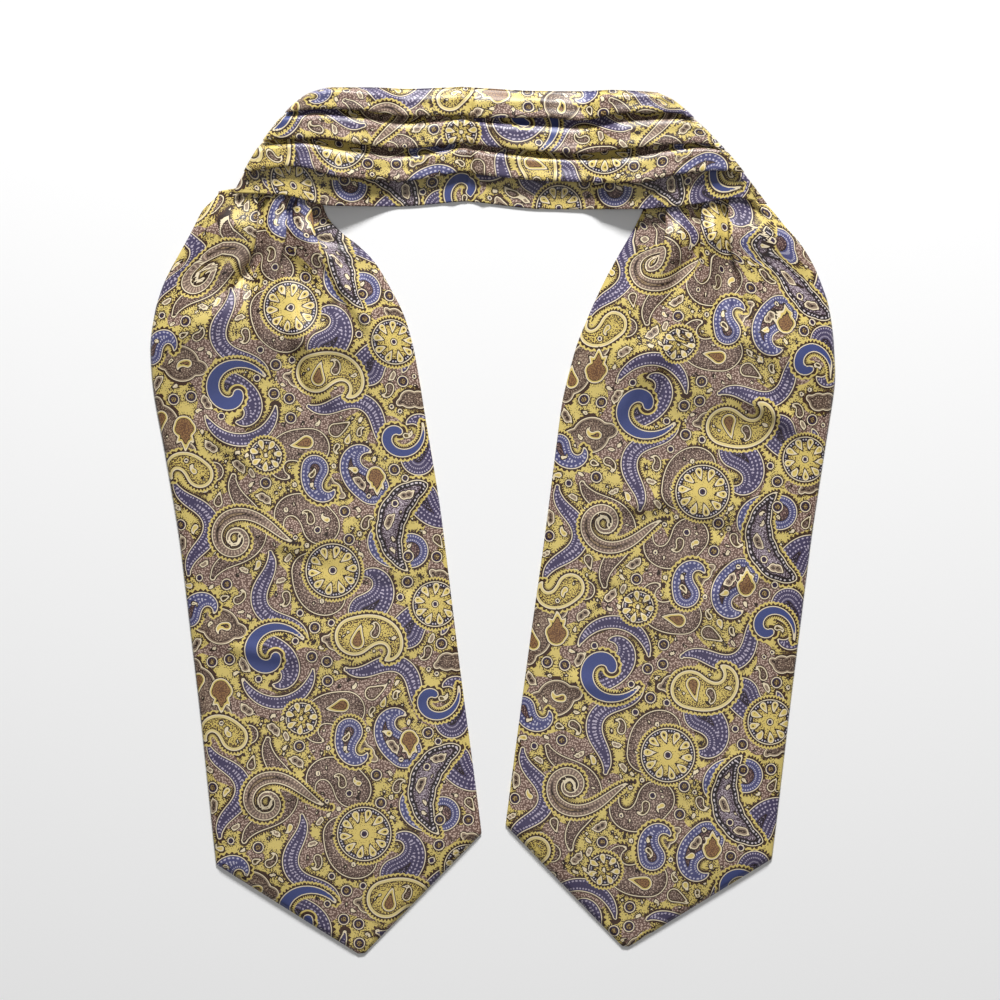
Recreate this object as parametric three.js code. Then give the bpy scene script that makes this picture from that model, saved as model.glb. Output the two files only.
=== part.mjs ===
// A silk cravat laid flat: a pleated neckband across the top and two wide blades with pointed ends.
// Millimetres, +Z up. +Y runs from the blade tips to the neckband, +X to the viewer's right.
import * as THREE from 'three';

// Cloth: two layers of printed silk, turned out and pressed, act as one wall in the band
const WALL = 1.0;
const SEAM_GAP = 0.3;
const FOLD_RADIUS = 1.0;
const PLEAT_STEP = 4 * FOLD_RADIUS;

// Blades: each tip's place on the table, the blade's lean in degrees, and where the band's lower edge
// crosses the blade: bandUp at its centre line, and bandSlope up per mm across
const LEFT_BLADE = { x: -75.0, y: -249.6, lean: 6.69, bandUp: 438.8, bandSlope: -0.32 };
const RIGHT_BLADE = { x: 76.2, y: -245.5, lean: -7.27, bandUp: 433.2, bandSlope: -0.25 };
// The cloth keeps low for TUCK_START next to the band and reaches its full height at TUCK_RUN
const TUCK_START = 4;
const TUCK_RUN = 18;
const POINT_LENGTH = 62;
const BLUNT_TIP = 1.5;
const PLAIN_END = 300;
const GATHER_START = 378;

// Neckband: height over the folded blade roots, and the roll over the mitre folds at its ends
const CORNER_BASE = 7.0;
const ROLL = 4.5;
const BAND_DEPTHS = [8, 10, 10];

// Outlines of the blades. up: distance from the tip along the blade. outer and inner: the two edges,
// measured across from the blade's centre line, inner towards the middle of the cravat.
// crown: how far the front layer stands above its seams.
const LEFT_OUTLINE = [
  { up: BLUNT_TIP, outer: -1.9, inner: 1.9, crown: 0.1 },
  { up: POINT_LENGTH, outer: -76.8, inner: 76.5, crown: 3.4 },
  { up: 160, outer: -75.8, inner: 75.2, crown: 4.0 },
  { up: 240, outer: -75.9, inner: 74.8, crown: 4.2 },
  { up: 300, outer: -78.5, inner: 72.4, crown: 5.0 },
  { up: 340, outer: -80.9, inner: 70.4, crown: 7.0 },
  { up: 360, outer: -79.9, inner: 67.5, crown: 8.5 },
  { up: 380, outer: -75.3, inner: 60.6, crown: 7.0 },
  { up: 395, outer: -69.0, inner: 53.7, crown: 5.0 },
  { up: 405, outer: -62.8, inner: 46.0, crown: 5.0 },
  { up: 415, outer: -55.6, inner: 36.0, crown: 5.5 },
  { up: 425, outer: -48.5, inner: 29.5, crown: 5.5 },
  { up: 436, outer: -41.0, inner: 27.5, crown: 5.0 },
  { up: 446, outer: -30.5, inner: 27.0, crown: 5.0 },
];
const RIGHT_OUTLINE = [
  { up: BLUNT_TIP, outer: -1.9, inner: 1.9, crown: 0.1 },
  { up: POINT_LENGTH, outer: -77.1, inner: 77.0, crown: 3.4 },
  { up: 160, outer: -76.4, inner: 76.5, crown: 4.0 },
  { up: 240, outer: -76.3, inner: 75.6, crown: 4.2 },
  { up: 300, outer: -77.6, inner: 75.6, crown: 5.5 },
  { up: 335, outer: -78.5, inner: 72.2, crown: 8.5 },
  { up: 357, outer: -75.6, inner: 67.0, crown: 8.5 },
  { up: 380, outer: -69.7, inner: 59.8, crown: 5.5 },
  { up: 395, outer: -62.6, inner: 53.9, crown: 5.0 },
  { up: 405, outer: -56.5, inner: 49.7, crown: 5.5 },
  { up: 415, outer: -48.2, inner: 45.8, crown: 5.5 },
  { up: 424, outer: -38.0, inner: 43.2, crown: 5.0 },
  { up: 433, outer: -28.5, inner: 42.5, crown: 5.0 },
  { up: 438, outer: -21.0, inner: 42.0, crown: 5.0 },
];

// Three knife pleats gather each blade at its root and open out down the blade.
// edge: where each fold lies, measured across. depth: cloth hidden under the fold, negative once it
// has opened. step: height of the folds. held: 1 where the pleats rule the cloth, 0 where it is plain.
const LEFT_PLEATS = [
  { up: 300, edge1: -42, edge2: -6, edge3: 48, depth: -14, step: 0.0, held: 0 },
  { up: 345, edge1: -42, edge2: -6, edge3: 48, depth: -14, step: 0.6, held: 0.4 },
  { up: 370, edge1: -38, edge2: -5, edge3: 44, depth: -12, step: 1.8, held: 1 },
  { up: 385, edge1: -32, edge2: -3, edge3: 40, depth: -8, step: 4.5, held: 1 },
  { up: 397, edge1: -24, edge2: -1, edge3: 33, depth: -2, step: 7.0, held: 1 },
  { up: 406, edge1: -16, edge2: 2, edge3: 25, depth: 3, step: 8.0, held: 1 },
  { up: 416, edge1: -12, edge2: 5.5, edge3: 22, depth: 6, step: 8.0, held: 1 },
  { up: 428, edge1: -10, edge2: 7, edge3: 21.5, depth: 6, step: 8.0, held: 1 },
  { up: 446, edge1: -8, edge2: 7, edge3: 21, depth: 6, step: 8.0, held: 1 },
];
const RIGHT_PLEATS = [
  { up: 290, edge1: -34, edge2: 6, edge3: 48, depth: -14, step: 0.0, held: 0 },
  { up: 335, edge1: -34, edge2: 6, edge3: 48, depth: -14, step: 0.8, held: 0.4 },
  { up: 360, edge1: -28, edge2: 7.4, edge3: 44, depth: -12, step: 2.5, held: 1 },
  { up: 380, edge1: -20, edge2: 8.0, edge3: 38, depth: -7, step: 5.0, held: 1 },
  { up: 393, edge1: -15, edge2: 8.4, edge3: 33, depth: -2, step: 7.5, held: 1 },
  { up: 403, edge1: -10, edge2: 8.6, edge3: 29.5, depth: 3, step: 8.5, held: 1 },
  { up: 413, edge1: -7, edge2: 9.2, edge3: 29.5, depth: 6, step: 8.5, held: 1 },
  { up: 423, edge1: -5.5, edge2: 10, edge3: 30.5, depth: 6, step: 8.5, held: 1 },
  { up: 438, edge1: -4.5, edge2: 10.5, edge3: 31, depth: 6, step: 8.5, held: 1 },
];

// Soft ridges in the blades. up, across: the ridge's middle. reach: half its length across the
// blade. width: half its width. height: negative for a hollow. slope: rise up the blade per mm across.
const LEFT_RIDGES = [
  { up: 372, across: -45, reach: 26, width: 9, height: 2.6, slope: 0.25 },
  { up: 352, across: 22, reach: 30, width: 10, height: 2.2, slope: -0.3 },
  { up: 330, across: -40, reach: 30, width: 12, height: -1.8, slope: 0.2 },
  { up: 243, across: -10, reach: 60, width: 11, height: 1.5, slope: 0.06 },
  { up: 180, across: 12, reach: 55, width: 13, height: 1.3, slope: -0.08 },
  { up: 105, across: -14, reach: 50, width: 15, height: 0.9, slope: 0.12 },
];
const RIGHT_RIDGES = [
  { up: 352, across: -38, reach: 26, width: 10, height: 2.4, slope: 0.3 },
  { up: 340, across: 34, reach: 28, width: 11, height: 2.2, slope: -0.2 },
  { up: 300, across: -30, reach: 36, width: 12, height: -1.8, slope: 0.15 },
  { up: 262, across: 4, reach: 60, width: 12, height: 1.6, slope: 0.07 },
  { up: 196, across: -18, reach: 52, width: 13, height: 1.1, slope: -0.1 },
  { up: 112, across: 16, reach: 48, width: 15, height: 0.9, slope: 0.1 },
];

// Neckband sections from the left mitre fold to the right one. topX and lowX: the section's two ends.
// top, edge1 to edge3, low: the top edge, the three pleat folds and the lower edge, up the table.
// gape: how far the folds stand off the strip below. base: height of what the band lies on.
// bow: 1 for a straight section, less where the mitre fold swells outwards near the top.
const BAND = [
  { n: 0, topX: -94.0, lowX: -148.1, top: 248.4, edge1: 234.0, edge2: 217.9, edge3: 200.1,
    low: 188.0, gape: 0.3, base: CORNER_BASE, bow: 0.55 },
  { n: 1, topX: -84.2, lowX: -121.6, top: 248.5, edge1: 235.8, edge2: 218.8, edge3: 203.0,
    low: 187.2, gape: 1.2, base: CORNER_BASE, bow: 0.75 },
  { n: 2, topX: -68.7, lowX: -90.0, top: 248.5, edge1: 234.6, edge2: 216.0, edge3: 196.7,
    low: 180.6, gape: 3.0, base: 6.9, bow: 1 },
  { n: 3, topX: -46.9, lowX: -52.6, top: 248.7, edge1: 232.4, edge2: 213.9, edge3: 195.5,
    low: 181.1, gape: 3.0, base: 0.0, bow: 1 },
  { n: 4, topX: -17.0, lowX: -17.0, top: 249.8, edge1: 233.2, edge2: 217.4, edge3: 200.7,
    low: 184.0, gape: 0.3, base: 0.0, bow: 1 },
  { n: 5, topX: -7.8, lowX: -7.8, top: 249.3, edge1: 231.6, edge2: 216.0, edge3: 199.2,
    low: 183.4, gape: 0.3, base: 0.0, bow: 1 },
  { n: 6, topX: 27.9, lowX: 27.9, top: 247.4, edge1: 231.6, edge2: 212.2, edge3: 195.5,
    low: 179.6, gape: 3.4, base: 0.0, bow: 1 },
  { n: 7, topX: 50.9, lowX: 50.9, top: 247.3, edge1: 230.0, edge2: 211.0, edge3: 194.6,
    low: 179.4, gape: 3.8, base: 0.4, bow: 1 },
  { n: 8, topX: 69.3, lowX: 82.5, top: 247.0, edge1: 233.0, edge2: 212.9, edge3: 193.2,
    low: 178.8, gape: 3.0, base: 6.9, bow: 1 },
  { n: 9, topX: 83.1, lowX: 114.1, top: 246.4, edge1: 233.7, edge2: 215.2, edge3: 198.4,
    low: 181.4, gape: 2.0, base: CORNER_BASE, bow: 0.95 },
  { n: 10, topX: 91.1, lowX: 140.0, top: 245.9, edge1: 233.3, edge2: 216.2, edge3: 200.4,
    low: 185.2, gape: 1.0, base: CORNER_BASE, bow: 0.85 },
  { n: 11, topX: 95.2, lowX: 157.3, top: 245.5, edge1: 231.2, edge2: 212.2, edge3: 199.5,
    low: 181.7, gape: 0.3, base: CORNER_BASE, bow: 0.75 },
];

// The cloth turned in at each mitre fold, hidden under the band: plan corners of the stack
const STACK_SIDES = 28;
const LEFT_FOLD = [
  [-102, 239], [-112, 231], [-121, 220], [-129, 209], [-132, 202], [-104, 204], [-84, 212], [-80, 239],
];
const RIGHT_FOLD = [
  [82, 238], [84, 216], [97, 205], [131, 201], [126, 210], [118, 221], [109, 229], [95, 238],
];
// The rim of that stack, from the table up: how far each ring is set in, and its height
const FOLD_RINGS = [
  { inset: 1.2, z: 0.0 },
  { inset: 0.0, z: 0.8 },
  { inset: 0.0, z: 1.6 },
  { inset: 1.2, z: 2.2 },
  { inset: 0.6, z: 2.9 },
  { inset: 0.6, z: 3.7 },
  { inset: 1.8, z: 4.3 },
  { inset: 1.4, z: 5.0 },
  { inset: 3.0, z: 6.0 },
  { inset: 8.0, z: 6.5 },
];

const silk = new THREE.MeshStandardMaterial({ color: 0x897968, roughness: 0.42, metalness: 0 });
const bandSilk = new THREE.MeshStandardMaterial({ color: 0x93836f, roughness: 0.4, metalness: 0 });
const hiddenSilk = new THREE.MeshStandardMaterial({ color: 0x6f6154, roughness: 0.5, metalness: 0 });

const mix = THREE.MathUtils.lerp;
const clamp = THREE.MathUtils.clamp;

// Slope of a table's column at one row, flat at peaks so that curves never overshoot
function slopeAt(rows, by, column, i) {
  if (i === 0 || i === rows.length - 1) return 0;
  const before = (rows[i][column] - rows[i - 1][column]) / (rows[i][by] - rows[i - 1][by]);
  const after = (rows[i + 1][column] - rows[i][column]) / (rows[i + 1][by] - rows[i][by]);
  if (before * after <= 0) return 0;
  return (2 * before * after) / (before + after);
}

// All columns of a table, read smoothly between its rows
function readTable(rows, by, at) {
  let i = 0;
  while (i < rows.length - 2 && at > rows[i + 1][by]) i += 1;
  const low = rows[i];
  const high = rows[i + 1];
  const span = high[by] - low[by];
  const t = clamp((at - low[by]) / span, 0, 1);
  const result = {};
  for (const column of Object.keys(low)) {
    const startSlope = slopeAt(rows, by, column, i) * span;
    const endSlope = slopeAt(rows, by, column, i + 1) * span;
    const rise = t * t * (3 - 2 * t);
    const start = t * (1 - t) * (1 - t) * startSlope;
    const end = t * t * (t - 1) * endSlope;
    result[column] = mix(low[column], high[column], rise) + start + end;
  }
  return result;
}

// The points of one section through pleated cloth. Each strip rises over the hidden return of the
// next fold, turns under at the fold's edge, runs back by the pleat's depth and turns again.
// s: distance along the section. h: height above what the cloth lies on.
function pleatedSection({ start, end, edges, depths, steps, gapes, spacing }) {
  const points = [{ s: start, h: 0 }];
  let from = start;
  let clear = start + FOLD_RADIUS;
  edges.forEach((edge, i) => {
    const depth = depths[i];
    const step = steps[i];
    const top = step + gapes[i];
    const folded = clamp(depth / PLEAT_STEP, 0, 1);
    const turn = clamp(depth / PLEAT_STEP, -1, 1) * spacing;
    const radius = Math.min(FOLD_RADIUS, step / 4);
    const to = edge - spacing;
    const crest = edge - depth - 1.8 * FOLD_RADIUS;
    points.push({ s: mix(mix(from, to, 0.25), clear, folded), h: 0 });
    points.push({ s: mix(mix(from, to, 0.5), crest, folded), h: step * mix(0.6, 1, folded) });
    points.push({ s: mix(mix(from, to, 0.75), (crest + to) / 2, folded), h: mix(step, top, 0.4) });
    points.push({ s: to, h: top });
    points.push({ s: edge, h: top - radius });
    points.push({ s: edge - turn, h: top - 2 * radius });
    points.push({ s: edge - depth + turn, h: 2 * radius });
    points.push({ s: edge - depth, h: radius });
    points.push({ s: edge - depth + spacing, h: 0 });
    from = edge - depth + spacing;
    clear = edge + 1.2 * FOLD_RADIUS;
  });
  for (const t of [0.25, 0.5, 0.75, 1]) {
    points.push({ s: mix(from, end, t), h: 0 });
  }
  return points;
}

// A closed wall of cloth round a grid of points on its middle surface
function wall(grid, thickness) {
  const rows = grid.length;
  const columns = grid[0].length;
  const faces = [[], []];
  const along = new THREE.Vector3();
  const across = new THREE.Vector3();
  for (let r = 0; r < rows; r += 1) {
    for (let c = 0; c < columns; c += 1) {
      along.subVectors(grid[Math.min(r + 1, rows - 1)][c], grid[Math.max(r - 1, 0)][c]);
      across.subVectors(grid[r][Math.min(c + 1, columns - 1)], grid[r][Math.max(c - 1, 0)]);
      const normal = new THREE.Vector3().crossVectors(across, along).normalize();
      faces[0].push(grid[r][c].clone().addScaledVector(normal, thickness / 2));
      faces[1].push(grid[r][c].clone().addScaledVector(normal, -thickness / 2));
    }
  }
  const total = rows * columns;
  const triangles = [];
  const quad = (a, b, c, d) => triangles.push(a, b, c, a, c, d);
  const at = (side, r, c) => side * total + r * columns + c;
  for (let r = 0; r < rows - 1; r += 1) {
    for (let c = 0; c < columns - 1; c += 1) {
      quad(at(0, r, c), at(0, r, c + 1), at(0, r + 1, c + 1), at(0, r + 1, c));
      quad(at(1, r, c), at(1, r + 1, c), at(1, r + 1, c + 1), at(1, r, c + 1));
    }
  }
  for (let r = 0; r < rows - 1; r += 1) {
    const last = columns - 1;
    quad(at(0, r, 0), at(0, r + 1, 0), at(1, r + 1, 0), at(1, r, 0));
    quad(at(0, r, last), at(1, r, last), at(1, r + 1, last), at(0, r + 1, last));
  }
  for (let c = 0; c < columns - 1; c += 1) {
    const last = rows - 1;
    quad(at(0, 0, c), at(1, 0, c), at(1, 0, c + 1), at(0, 0, c + 1));
    quad(at(0, last, c), at(0, last, c + 1), at(1, last, c + 1), at(1, last, c));
  }
  return closedGeometry([...faces[0], ...faces[1]], triangles);
}

// A geometry from points and triangles, turned so that its faces point out
function closedGeometry(points, triangles) {
  let volume = 0;
  for (let i = 0; i < triangles.length; i += 3) {
    const [a, b, c] = [points[triangles[i]], points[triangles[i + 1]], points[triangles[i + 2]]];
    volume += a.dot(new THREE.Vector3().crossVectors(b, c)) / 6;
  }
  const facing = volume > 0 ? triangles : [...triangles].reverse();
  const numbers = points.flatMap((p) => p.toArray());
  const geometry = new THREE.BufferGeometry();
  geometry.setAttribute('position', new THREE.Float32BufferAttribute(numbers, 3));
  geometry.setIndex(facing);
  geometry.computeVertexNormals();
  return geometry;
}

// The distances up a blade at which its sections are taken, closer together among the pleats
function bladeStations(outline) {
  const root = outline[outline.length - 1].up;
  const stations = [BLUNT_TIP];
  const stretches = [
    { from: BLUNT_TIP, to: POINT_LENGTH, steps: 3 },
    { from: POINT_LENGTH, to: PLAIN_END, steps: 9 },
    { from: PLAIN_END, to: GATHER_START, steps: 6 },
    { from: GATHER_START, to: root, steps: 11 },
  ];
  for (const { from, to, steps } of stretches) {
    for (let i = 1; i <= steps; i += 1) {
      stations.push(mix(from, to, i / steps));
    }
  }
  return stations;
}

// A blade's edges and crown at a distance up from the tip: straight along the point, then smooth
function bladeRow(outline, up) {
  const row = readTable(outline, 'up', up);
  if (up < POINT_LENGTH) {
    const t = (up - BLUNT_TIP) / (POINT_LENGTH - BLUNT_TIP);
    row.outer = mix(outline[0].outer, outline[1].outer, t);
    row.inner = mix(outline[0].inner, outline[1].inner, t);
  }
  return row;
}

// How far a blade's cloth may rise at a point: 0 where the band lies on it, 1 clear of the band
function clearOfBand(place, up, s) {
  const below = place.bandUp + place.bandSlope * s - up;
  return THREE.MathUtils.smoothstep(below, TUCK_START, TUCK_RUN);
}

// Height of a blade's front layer above its seams, without its pleats
function bladeRise(row, ridges, up, s) {
  const t = clamp((s - row.outer) / (row.inner - row.outer), 0, 1);
  const fade = 1 - (2 * t - 1) ** 4;
  let height = row.crown * fade;
  for (const ridge of ridges) {
    const off = s - ridge.across;
    const over = (up - ridge.up - ridge.slope * off) / ridge.width;
    height += ridge.height * fade * Math.exp(-over * over - (off / ridge.reach) ** 2);
  }
  return height;
}

function bladeFront(place, outline, pleats, ridges, side) {
  const seat = WALL + SEAM_GAP + WALL / 2;
  const grid = bladeStations(outline).map((up) => {
    const row = bladeRow(outline, up);
    const pleat = readTable(pleats, 'up', up);
    const width = row.inner - row.outer;
    const spread = [0.2, 0.47, 0.74].map((share) => row.outer + share * width);
    const edges = [pleat.edge1, pleat.edge2, pleat.edge3].map((e, i) => mix(spread[i], e, pleat.held));
    const section = pleatedSection({
      start: row.outer,
      end: row.inner,
      edges,
      depths: [1, 1, 0.9].map((share) => mix(-width / 12, pleat.depth * share, pleat.held)),
      steps: edges.map((e) => {
        const least = Math.min(pleat.step, PLEAT_STEP);
        return mix(least, pleat.step, clearOfBand(place, up, e));
      }),
      gapes: [0, 0, 0],
      spacing: mix(width / 40, FOLD_RADIUS, pleat.held),
    });
    return section.map(({ s, h }) => {
      const rise = Math.max(0, bladeRise(row, ridges, up, s));
      const z = seat + clearOfBand(place, up, s) * rise + h;
      return new THREE.Vector3(side * s, up, z);
    });
  });
  return wall(grid, WALL);
}

function bladeBack(outline, side) {
  const grid = bladeStations(outline).map((up) => {
    const row = bladeRow(outline, up);
    const middle = (row.outer + row.inner) / 2;
    return [row.outer, middle, row.inner].map((s) => new THREE.Vector3(side * s, up, WALL / 2));
  });
  return wall(grid, WALL);
}

// One section of the neckband, moved in from the mitre fold by inward and lowered by drop, but held
// up where the blade's pleats come out from under it
function bandSection(n, inward, drop) {
  const row = readTable(BAND, 'n', n);
  const height = row.top - row.low;
  const section = pleatedSection({
    start: 0,
    end: height,
    edges: [row.edge1, row.edge2, row.edge3].map((y) => row.top - y),
    depths: BAND_DEPTHS,
    steps: [PLEAT_STEP, PLEAT_STEP, PLEAT_STEP],
    gapes: [0.8 * row.gape, row.gape, 0.9 * row.gape],
    spacing: FOLD_RADIUS,
  });
  return section.map(({ s, h }) => {
    const t = s / height;
    const x = mix(row.topX, row.lowX, t ** row.bow);
    const lowered = drop * (1 - THREE.MathUtils.smoothstep(t, 0.4, 0.66));
    return new THREE.Vector3(x + inward, row.top - s, WALL / 2 + row.base + h - lowered);
  });
}

function neckband() {
  const last = BAND.length - 1;
  const grid = [];
  for (let angle = 80; angle >= 0; angle -= 27) {
    const turn = THREE.MathUtils.degToRad(angle);
    grid.push(bandSection(0, ROLL * (1 - Math.sin(turn)), ROLL * (1 - Math.cos(turn))));
  }
  for (let n = 0.5; n < last; n += 0.5) {
    grid.push(bandSection(n, 0, 0));
  }
  for (let angle = 0; angle <= 81; angle += 26.5) {
    const turn = THREE.MathUtils.degToRad(angle);
    grid.push(bandSection(last, ROLL * (Math.sin(turn) - 1), ROLL * (1 - Math.cos(turn))));
  }
  return wall(grid, WALL);
}

// The folded-in cloth at a mitre: rings round its plan corners, stepped like a stack of layers
function foldStack(corners) {
  const outline = new THREE.CatmullRomCurve3(
    corners.map(([x, y]) => new THREE.Vector3(x, y, 0)), true, 'catmullrom', 0.35);
  const around = outline.getSpacedPoints(STACK_SIDES).slice(0, STACK_SIDES);
  const centre = around.reduce((sum, p) => sum.add(p), new THREE.Vector3()).divideScalar(STACK_SIDES);
  const points = [];
  for (const { inset, z } of FOLD_RINGS) {
    for (const p of around) {
      const reach = p.distanceTo(centre);
      points.push(new THREE.Vector3().lerpVectors(centre, p, 1 - inset / reach).setZ(z));
    }
  }
  const low = points.push(centre.clone().setZ(0)) - 1;
  const high = points.push(centre.clone().setZ(FOLD_RINGS[FOLD_RINGS.length - 1].z)) - 1;
  const triangles = [];
  const top = (FOLD_RINGS.length - 1) * STACK_SIDES;
  for (let i = 0; i < STACK_SIDES; i += 1) {
    const next = (i + 1) % STACK_SIDES;
    for (let ring = 0; ring < FOLD_RINGS.length - 1; ring += 1) {
      const a = ring * STACK_SIDES;
      const b = a + STACK_SIDES;
      triangles.push(a + i, a + next, b + next, a + i, b + next, b + i);
    }
    triangles.push(low, next, i);
    triangles.push(high, top + i, top + next);
  }
  return closedGeometry(points, triangles);
}

function named(name, geometry, material) {
  const mesh = new THREE.Mesh(geometry, material);
  mesh.name = name;
  return mesh;
}

function blade(name, place, outline, pleats, ridges, side) {
  const group = new THREE.Group();
  group.position.set(place.x, place.y, 0);
  group.rotation.z = THREE.MathUtils.degToRad(place.lean);
  group.add(named(`${name}_front`, bladeFront(place, outline, pleats, ridges, side), silk));
  group.add(named(`${name}_back`, bladeBack(outline, side), silk));
  return group;
}

const cravat = new THREE.Group();
cravat.add(named('neckband', neckband(), bandSilk));
cravat.add(named('fold_left', foldStack(LEFT_FOLD), hiddenSilk));
cravat.add(named('fold_right', foldStack(RIGHT_FOLD), hiddenSilk));
cravat.add(blade('blade_left', LEFT_BLADE, LEFT_OUTLINE, LEFT_PLEATS, LEFT_RIDGES, 1));
cravat.add(blade('blade_right', RIGHT_BLADE, RIGHT_OUTLINE, RIGHT_PLEATS, RIGHT_RIDGES, -1));

// The origin is the middle of the table area that the cravat covers
cravat.updateMatrixWorld(true);
const box = new THREE.Box3().setFromObject(cravat, true);
const centre = box.getCenter(new THREE.Vector3());
cravat.position.set(-centre.x, -centre.y, -box.min.z);

export default cravat;
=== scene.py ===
# %% [markdown]
# # A silk cravat, laid flat
#
# The cravat is one long strip of doubled, printed silk. Its middle is pressed into three knife
# pleats to make the neckband, and its two ends stay full width and finish in points. It is laid
# on a table with the band across the top, so the cloth is folded over on itself at both corners.
#
# A cloth simulation could drop such a strip on a table, but its folds would fall where they like.
# This cravat has folds of its own, so each of them is measured and placed one by one.
#
# Everything is worked out in millimetres, because that is how cloth is cut, and it is turned into
# metres only when a mesh is made.

# %% Load the frame
import math
import bpy
import mathutils
import numpy as np
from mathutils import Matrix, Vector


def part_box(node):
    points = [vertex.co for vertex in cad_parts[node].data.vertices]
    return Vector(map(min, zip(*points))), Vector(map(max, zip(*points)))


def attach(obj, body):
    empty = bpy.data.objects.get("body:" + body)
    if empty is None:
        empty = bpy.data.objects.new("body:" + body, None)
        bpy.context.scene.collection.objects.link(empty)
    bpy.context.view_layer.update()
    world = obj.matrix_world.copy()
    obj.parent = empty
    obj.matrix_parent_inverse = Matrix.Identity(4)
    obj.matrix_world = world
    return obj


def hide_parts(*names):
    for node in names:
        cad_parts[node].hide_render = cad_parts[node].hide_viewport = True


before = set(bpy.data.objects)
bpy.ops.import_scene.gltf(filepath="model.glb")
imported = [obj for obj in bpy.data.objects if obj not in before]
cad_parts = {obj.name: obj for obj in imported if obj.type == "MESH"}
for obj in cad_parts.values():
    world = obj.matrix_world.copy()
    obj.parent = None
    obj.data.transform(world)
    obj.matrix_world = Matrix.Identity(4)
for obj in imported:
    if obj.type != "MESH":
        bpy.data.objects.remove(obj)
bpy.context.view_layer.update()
MM = 0.001

# %% [markdown]
# ## The camera
#
# A garment laid flat is photographed from straight above, so that its outline isn't distorted. An
# orthographic camera would show no perspective at all, but no real lens sees like that. A camera
# 1.5 m up with a long lens keeps it weak, and its focal length follows from how much of the table
# the picture shows.

# %% Camera
PICTURE_WIDTH = 575.0
PICTURE_MIDDLE = (4.2, 11.7)
CAMERA_HEIGHT = 1500.0
SENSOR = 36.0

scene = bpy.context.scene
camera = bpy.data.objects.new("camera", bpy.data.cameras.new("camera"))
camera.data.sensor_width = SENSOR
camera.data.lens = SENSOR * CAMERA_HEIGHT / PICTURE_WIDTH
camera.location = (PICTURE_MIDDLE[0] * MM, PICTURE_MIDDLE[1] * MM, CAMERA_HEIGHT * MM)
scene.collection.objects.link(camera)
scene.camera = camera
scene.view_settings.view_transform = "Standard"
print("lens, mm:", round(camera.data.lens, 1))

# %% [markdown]
# ## Reading a pattern table
#
# A pattern cutter writes down a few measurements and joins them with a fair curve. The edges
# could also be drawn as Bezier curves, but a number in a table can be checked with a ruler and
# changed on its own. A table here holds its measurements in named columns, and reading it between
# its rows gives a smooth curve that never bulges past them.

# %% Tables
def table(columns, *rows):
    """Measurements by column name, from rows of numbers."""
    names = columns.split()
    return {name: np.array([row[i] for row in rows], float) for i, name in enumerate(names)}


def read(rows, column, at):
    """One column of a table, read smoothly at places along its first column."""
    by = next(iter(rows))
    x, y = rows[by], rows[column]
    gap = np.diff(x)
    rate = np.diff(y) / gap
    slope = np.zeros(len(x))
    same = rate[:-1] * rate[1:] > 0
    total = np.where(same, rate[:-1] + rate[1:], 1.0)
    slope[1:-1] = np.where(same, 2 * rate[:-1] * rate[1:] / total, 0.0)
    i = np.clip(np.searchsorted(x, at, side="right") - 1, 0, len(gap) - 1)
    t = np.clip((at - x[i]) / gap[i], 0, 1)
    ends = t * (1 - t) ** 2 * slope[i] + t * t * (t - 1) * slope[i + 1]
    return y[i] + (y[i + 1] - y[i]) * t * t * (3 - 2 * t) + gap[i] * ends


def mix(a, b, t):
    """A value from a to b as t goes from 0 to 1."""
    return a + (b - a) * t


def ease(value, low, high):
    """From 0 at low to 1 at high, soft at both ends."""
    t = np.clip((value - low) / (high - low), 0, 1)
    return t * t * (3 - 2 * t)


print("half way up a soft step:", ease(5.0, 0.0, 10.0))

# %% [markdown]
# ## A section through pleated cloth
#
# A knife pleat is a flat strip that turns under at its fold, runs back out of sight, turns again
# and comes out as the next strip. Seen end on it is a flattened S. It could be folded from a flat
# plane, edge by edge, but then every change means folding it again. Here the section is drawn
# with a few points for each strip and each turn, and a curve is drawn through them, so the same
# recipe serves the pressed band and the loose gathers at the top of each blade. Where a pleat has
# opened out its depth is negative, and the S becomes a soft slope.

# %% Sizes of a pleat
FOLD_RADIUS = 1.0
TURN_RADIUS = 0.6 * FOLD_RADIUS
CREST_BACK = 1.8 * FOLD_RADIUS
CLEAR_PAST = 1.2 * FOLD_RADIUS
PLEAT_STEP = 4 * FOLD_RADIUS
STRIP_STEPS = (6, 6, 5, 6)
TURN_STEPS = (3, 3, 4, 3, 3)
LAST_STEPS = (7, 7, 7, 7)
SECTION_STEPS = (STRIP_STEPS + TURN_STEPS) * 3 + LAST_STEPS
print("points across a pleated section:", sum(SECTION_STEPS) + 1)

# %% Points of a pleated section
def pleated_section(start, end, edges, depths, steps, gapes, spacing):
    """Points (rows, points, 2): distance along the section, and height over what is below."""
    s = [start]
    h = [0 * start]
    fore = start
    clear = start + FOLD_RADIUS
    for edge, depth, step, gape in zip(edges, depths, steps, gapes):
        top = step + gape
        folded = np.clip(depth / PLEAT_STEP, 0, 1)
        turn = np.clip(depth / PLEAT_STEP, -1, 1) * spacing
        radius = np.minimum(TURN_RADIUS, step / 4)
        to = edge - spacing
        crest = edge - depth - CREST_BACK
        s += [mix(mix(fore, to, 0.25), clear, folded), mix(mix(fore, to, 0.5), crest, folded)]
        h += [0 * step, step * mix(0.6, 1, folded)]
        s += [mix(mix(fore, to, 0.75), (crest + to) / 2, folded), to, edge, edge - turn]
        h += [mix(step, top, 0.4), top, top - radius, top - 2 * radius]
        s += [edge - depth + turn, edge - depth, edge - depth + spacing]
        h += [2 * radius, radius, 0 * step]
        fore = edge - depth + spacing
        clear = edge + CLEAR_PAST
    for t in (0.25, 0.5, 0.75, 1):
        s.append(mix(fore, end, t))
        h.append(0 * start)
    return np.stack([np.stack(s, axis=1), np.stack(h, axis=1)], axis=2)


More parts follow.
